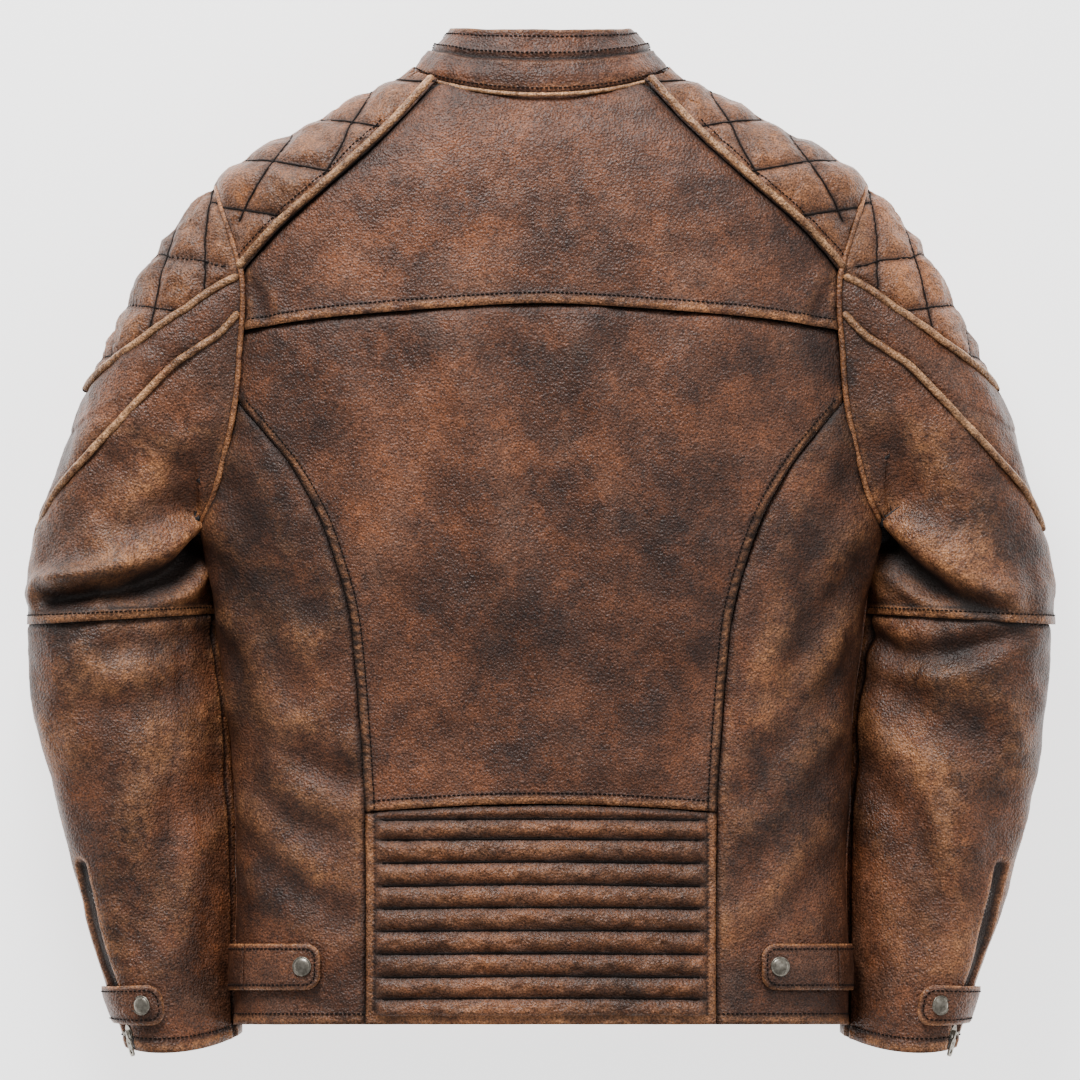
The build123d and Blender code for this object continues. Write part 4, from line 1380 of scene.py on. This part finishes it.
def snap_cap(name, body, centre, out):
    """Domed snap cap with a rolled rim, its back on the strap."""
    profile = [(0.0, 2.5), (2.0, 2.42), (3.8, 2.15), (5.0, 1.75), (5.55, 1.35), (5.8, 1.15), (6.1, 1.3),
               (6.5, 1.42), (6.85, 1.2), (7.0, 0.7), (6.9, 0.2), (6.4, -0.1), (0.0, -0.1)]
    stand_for(make(name, *turned(profile, centre, out), NICKEL, body), "snap_metal", name)


def stud(centre, out, gap):
    """Post that the cap snaps on to, its foot the gap below the cap."""
    profile = [(0.0, -2.3), (1.8, -2.4), (2.3, -2.8), (2.1, 1.0 - gap), (4.6, 0.7 - gap), (4.9, 0.3 - gap),
               (4.6, -0.1 - gap), (0.0, -0.1 - gap)]
    return turned(profile, centre, out, 24)


# ---------------------------------------------------------------- straps
def strap_edge(r, rim, inset=3.4, dirt=0.5):
    """Edge of a strap rolled over and rubbed, with a stitched groove inside it and shade painted into the
    groove.
    """
    d = distance(r.base, rim)
    r.height -= 0.9 * bump(d, 1.1) + 0.35 * bump(d - inset, 0.9)
    r.wear += bump(d, 1.5) + 0.15
    r.dirt += dirt * bump(d - inset, 0.9)


def strap_outline(root, tip, low, high, radius):
    """Strap from root to tip in flat coordinates, its tip corners rounded."""
    s = 1 if tip > root else -1
    out = [(root, low)]
    for cz, start in ((low + radius, -90), (high - radius, 0)):
        for i in range(7):
            a = math.radians(start + 15 * i)
            out.append((tip - s * radius + s * radius * math.cos(a), cz + radius * math.sin(a)))
    out.append((root, high))
    return dense(out, 1.6, True)


STRAP_LOW, STRAP_HIGH = -628.0, -595.5
STRAP_INSET = 3.6
STUD_GAP = 5.2                    # from the strap's face down to the leather under it


def strap_sheet(name, side, outline, open_rim, grow, body, nodes):
    """Flat piece of the side strap wrapped round the torso."""
    flat, faces = fill(outline, 2.2)
    base = torso_xyz(flat[:, 0] * side, flat[:, 1], grow)
    faces = outward(base, faces)
    r = Relief(base)
    strap_edge(r, torso_xyz(open_rim[:, 0] * side, open_rim[:, 1], grow), STRAP_INSET)
    r.ripples(0.5, 30, 90 + side)
    finish_sheet(name, r, faces, TRIM, body, nodes, 2.0, False)


def side_strap(side, tag):
    """Strap with its snap on its own body, and the sewn base that it starts from."""
    low, high, body = STRAP_LOW, STRAP_HIGH, f"side_strap_{tag}"
    middle = np.array([-611.0])
    tip, root, seam, snap = [torso_uv(np.array([x]), middle)[0] for x in (151.0, 203.5, 214.0, 163.0)]
    outline = strap_outline(root, tip, low, high, 10.0)
    strap_sheet(body, side, outline, outline[outline[:, 0] < root - 0.5], 5.4, body, None)
    inset = strap_outline(root, tip + STRAP_INSET, low + STRAP_INSET, high - STRAP_INSET, 7.0)
    inset = inset[inset[:, 0] < root - 1]
    round_tip = np.unwrap(np.arctan2(inset[:, 1] - (low + high) / 2, root - inset[:, 0]))
    inset = inset[np.argsort(round_tip)]
    stitches(f"side_strap_stitches_{tag}", torso_xyz(inset[:, 0] * side, inset[:, 1], 5.4), body)
    outline = dense([(seam, low), (root, low), (root, high), (seam, high)], 2.0, True)
    rim = outline[(np.abs(outline[:, 1] - low) < 0.5) | (np.abs(outline[:, 1] - high) < 0.5)]
    strap_sheet(f"side_strap_base_{tag}", side, outline, rim, 5.0, "torso", ())
    for z in (low + STRAP_INSET, high - STRAP_INSET):
        line = torso_xyz(np.linspace(root, seam, 12) * side, np.full(12, z), 5.0)
        stitches(f"side_base_stitches_{tag}_{int(-z)}", line, "torso")
    centre = torso_xyz(np.array([snap * side]), np.array([-611.5]), 5.6)[0]
    out = torso_normal(snap * side, -611.5)
    snap_cap(f"side_snap_{tag}", body, centre, out)
    return stud(centre, out, STUD_GAP)


def cuff_tab(side, tag):
    """Strap round the back of the cuff, standing off it so that the zip's slider passes below."""
    k_mid, section_gap, radius, low, high, lift = 11.52, 60.5, 43.0, -12.5, 12.5, 5.5
    root, tip, snap = [math.radians(turn) * radius for turn in (-19.5, 79, 60)]

    def at(p, grow):
        return mirror(sleeve_xyz(k_mid - p[:, 1] / section_gap, np.degrees(p[:, 0] / radius), grow), side)

    outline = strap_outline(root, tip, low, high, 9.5)
    flat, faces = fill(outline, 2.0)
    base = at(flat, lift)
    faces = outward(base, faces, (side * 255.0, MID_Y, 0))
    r = Relief(base)
    strap_edge(r, at(outline, lift))
    r.ripples(0.4, 24, 96 + side)
    finish_sheet(f"cuff_tab_{tag}", r, faces, TRIM, f"cuff_tab_{tag}", None, 2.0, False)
    inset = strap_outline(root + 3, tip - 3.4, low + 3.4, high - 3.4, 7.0)
    stitches(f"cuff_tab_stitches_{tag}", at(inset, lift + 0.1), f"cuff_tab_{tag}")
    centre, deeper = [at(np.array([[snap, 0.0]]), grow)[0] for grow in (lift + 0.2, 0.0)]
    snap_cap(f"cuff_snap_{tag}", f"cuff_tab_{tag}", centre, centre - deeper)
    name = f"cuff_stud_{tag}"
    post = make(name, *stud(centre, centre - deeper, STUD_GAP), NICKEL, f"forearm_{tag}")
    stand_for(post, "snap_metal", name)


def collar_tab():
    """Tab across the throat, flat and standing off the chest."""
    face_y, middle = 99.0, np.array([3.0, -26.0])

    def at(p):
        return np.column_stack([p[:, 0] + middle[0], np.full(len(p), face_y), p[:, 1] + middle[1]])

    outline = dense(rounded_rect(66, 26, 9, 0.0, 6), 2.0, True)
    flat, faces = fill(outline, 2.4)
    base = at(flat)
    faces = outward(base, faces)
    r = Relief(base)
    strap_edge(r, at(outline), dirt=0)
    finish_sheet("collar_tab", r, faces, TRIM, "collar_tab", None, 2.0, False)
    centre, out = np.array([24.0, face_y + 0.2, middle[1]]), np.array([0.0, 1.0, 0.0])
    snap_cap("collar_snap", "collar_tab", centre, out)
    chest = torso_xyz(torso_uv(centre[:1], centre[2:], front=True), centre[2:], 0.3)[0]
    return stud(centre, out, centre[1] - chest[1])


def strap_studs(parts):
    stand_for(make("strap_studs", *combine(parts), NICKEL, "torso"), "snap_metal", "strap_studs")


# ---------------------------------------------------------------- inside
def hanger_loop():
    """Leather loop sewn inside the nape, its window for a hook."""
    rim = np.array(rounded_rect(60, 30, 6, -11.0))
    window = np.array(rounded_rect(48, 16, 3, -8.0))
    flat, faces = washer(rim, window, 1.4, 3.0)
    verts = np.column_stack([flat[:, 0], flat[:, 2], flat[:, 1]])
    if (normals(verts, faces)[:, 1] * (verts[:, 1] - 2.2)).sum() < 0:
        faces = [f[::-1] for f in faces]
    obj = make("hanger_loop", verts, faces, TRIM, "torso")
    paint(obj, wear=np.full(len(verts), 0.2), dirt=np.full(len(verts), 0.3))
    stand_for(obj, "trim_leather", "hanger_loop")


def back_lining():
    """Body lining behind the leather, seen from inside."""
    us = np.linspace(-TURN, TURN, 90)
    zs = np.linspace(-644, 4, 110)
    grid_u, grid_z = np.meshgrid(us, zs)
    base = torso_xyz(grid_u.ravel(), grid_z.ravel(), -7.5)
    n = len(us)
    faces = [(i * n + j, (i + 1) * n + j, (i + 1) * n + j + 1, i * n + j + 1)
             for i in range(len(zs) - 1) for j in range(n - 1)]
    faces = [f[::-1] for f in outward(base, faces)]
    r = Relief(base)
    r.ripples(0.8, 70, 100)
    finish_sheet("back_lining", r, faces, LINING, thickness=0.8, lined=False)


def backdrop():
    mat, tree = new_material("backdrop")
    matt = node(tree, "ShaderNodeBsdfDiffuse", {"Color": (0.9, 0.9, 0.9, 1)})
    glow = node(tree, "ShaderNodeEmission", {"Color": (1, 1, 1, 1), "Strength": 2.0})
    pale = node(tree, "ShaderNodeAddShader", {0: matt.outputs[0], 1: glow.outputs[0]})
    clear = node(tree, "ShaderNodeBsdfTransparent")
    facing = node(tree, "ShaderNodeNewGeometry").outputs["Backfacing"]
    switch = node(tree, "ShaderNodeMixShader", {0: facing, 1: pale.outputs[0], 2: clear.outputs[0]})
    out = node(tree, "ShaderNodeOutputMaterial")
    tree.links.new(switch.outputs[0], out.inputs[0])
    verts = [(-3000, 128, -3000), (3000, 128, -3000), (3000, 128, 3000), (-3000, 128, 3000)]
    obj = make("backdrop", verts, [(0, 1, 2, 3)], mat)


def lights():
    scene = bpy.context.scene
    world = bpy.data.worlds.new("world")
    world.use_nodes = True
    world.node_tree.nodes["Background"].inputs[0].default_value = (1, 1, 1, 1)
    world.node_tree.nodes["Background"].inputs[1].default_value = 0.42
    scene.world = world
    for name, at, power, size, aim in (("key", (-0.45, -1.25, 1.55), 74, 0.8, (0, 0, -0.3)),
                                       ("fill", (1.3, -1.8, 0.2), 12, 1.6, (0, 0, -0.3)),
                                       ("front", (0.8, 2.4, 0.9), 30, 1.6, (0, 0, -0.3))):
        data = bpy.data.lights.new(name, "AREA")
        data.energy = power
        data.size = size
        lamp = bpy.data.objects.new(name, data)
        lamp.location = at
        scene.collection.objects.link(lamp)
        target = np.array(aim) - np.array(at)
        lamp.rotation_euler = Vector(target.tolist()).to_track_quat("-Z", "Y").to_euler()
    data = bpy.data.cameras.new("camera")
    data.type = "ORTHO"
    data.ortho_scale = 0.756
    camera = bpy.data.objects.new("camera", data)
    camera.location = (-0.0007, -3.0, -0.3129)
    camera.rotation_euler = (math.pi / 2, 0, 0)
    scene.collection.objects.link(camera)
    scene.camera = camera


back_yoke()
back_panel()
lumbar_panel()
studs = []
for side, tag in SIDES:
    side_back(side, tag)
    shoulder(side, tag)
    front_body(side, tag)
    upper_sleeve(side, tag)
    forearm(side, tag)
    studs.append(side_strap(side, tag))
    cuff_tab(side, tag)
for side, tag in SIDES:
    torso_piping(side, tag)
collar()
studs.append(collar_tab())
strap_studs(studs)
hanger_loop()
zips()
back_lining()
backdrop()
lights()
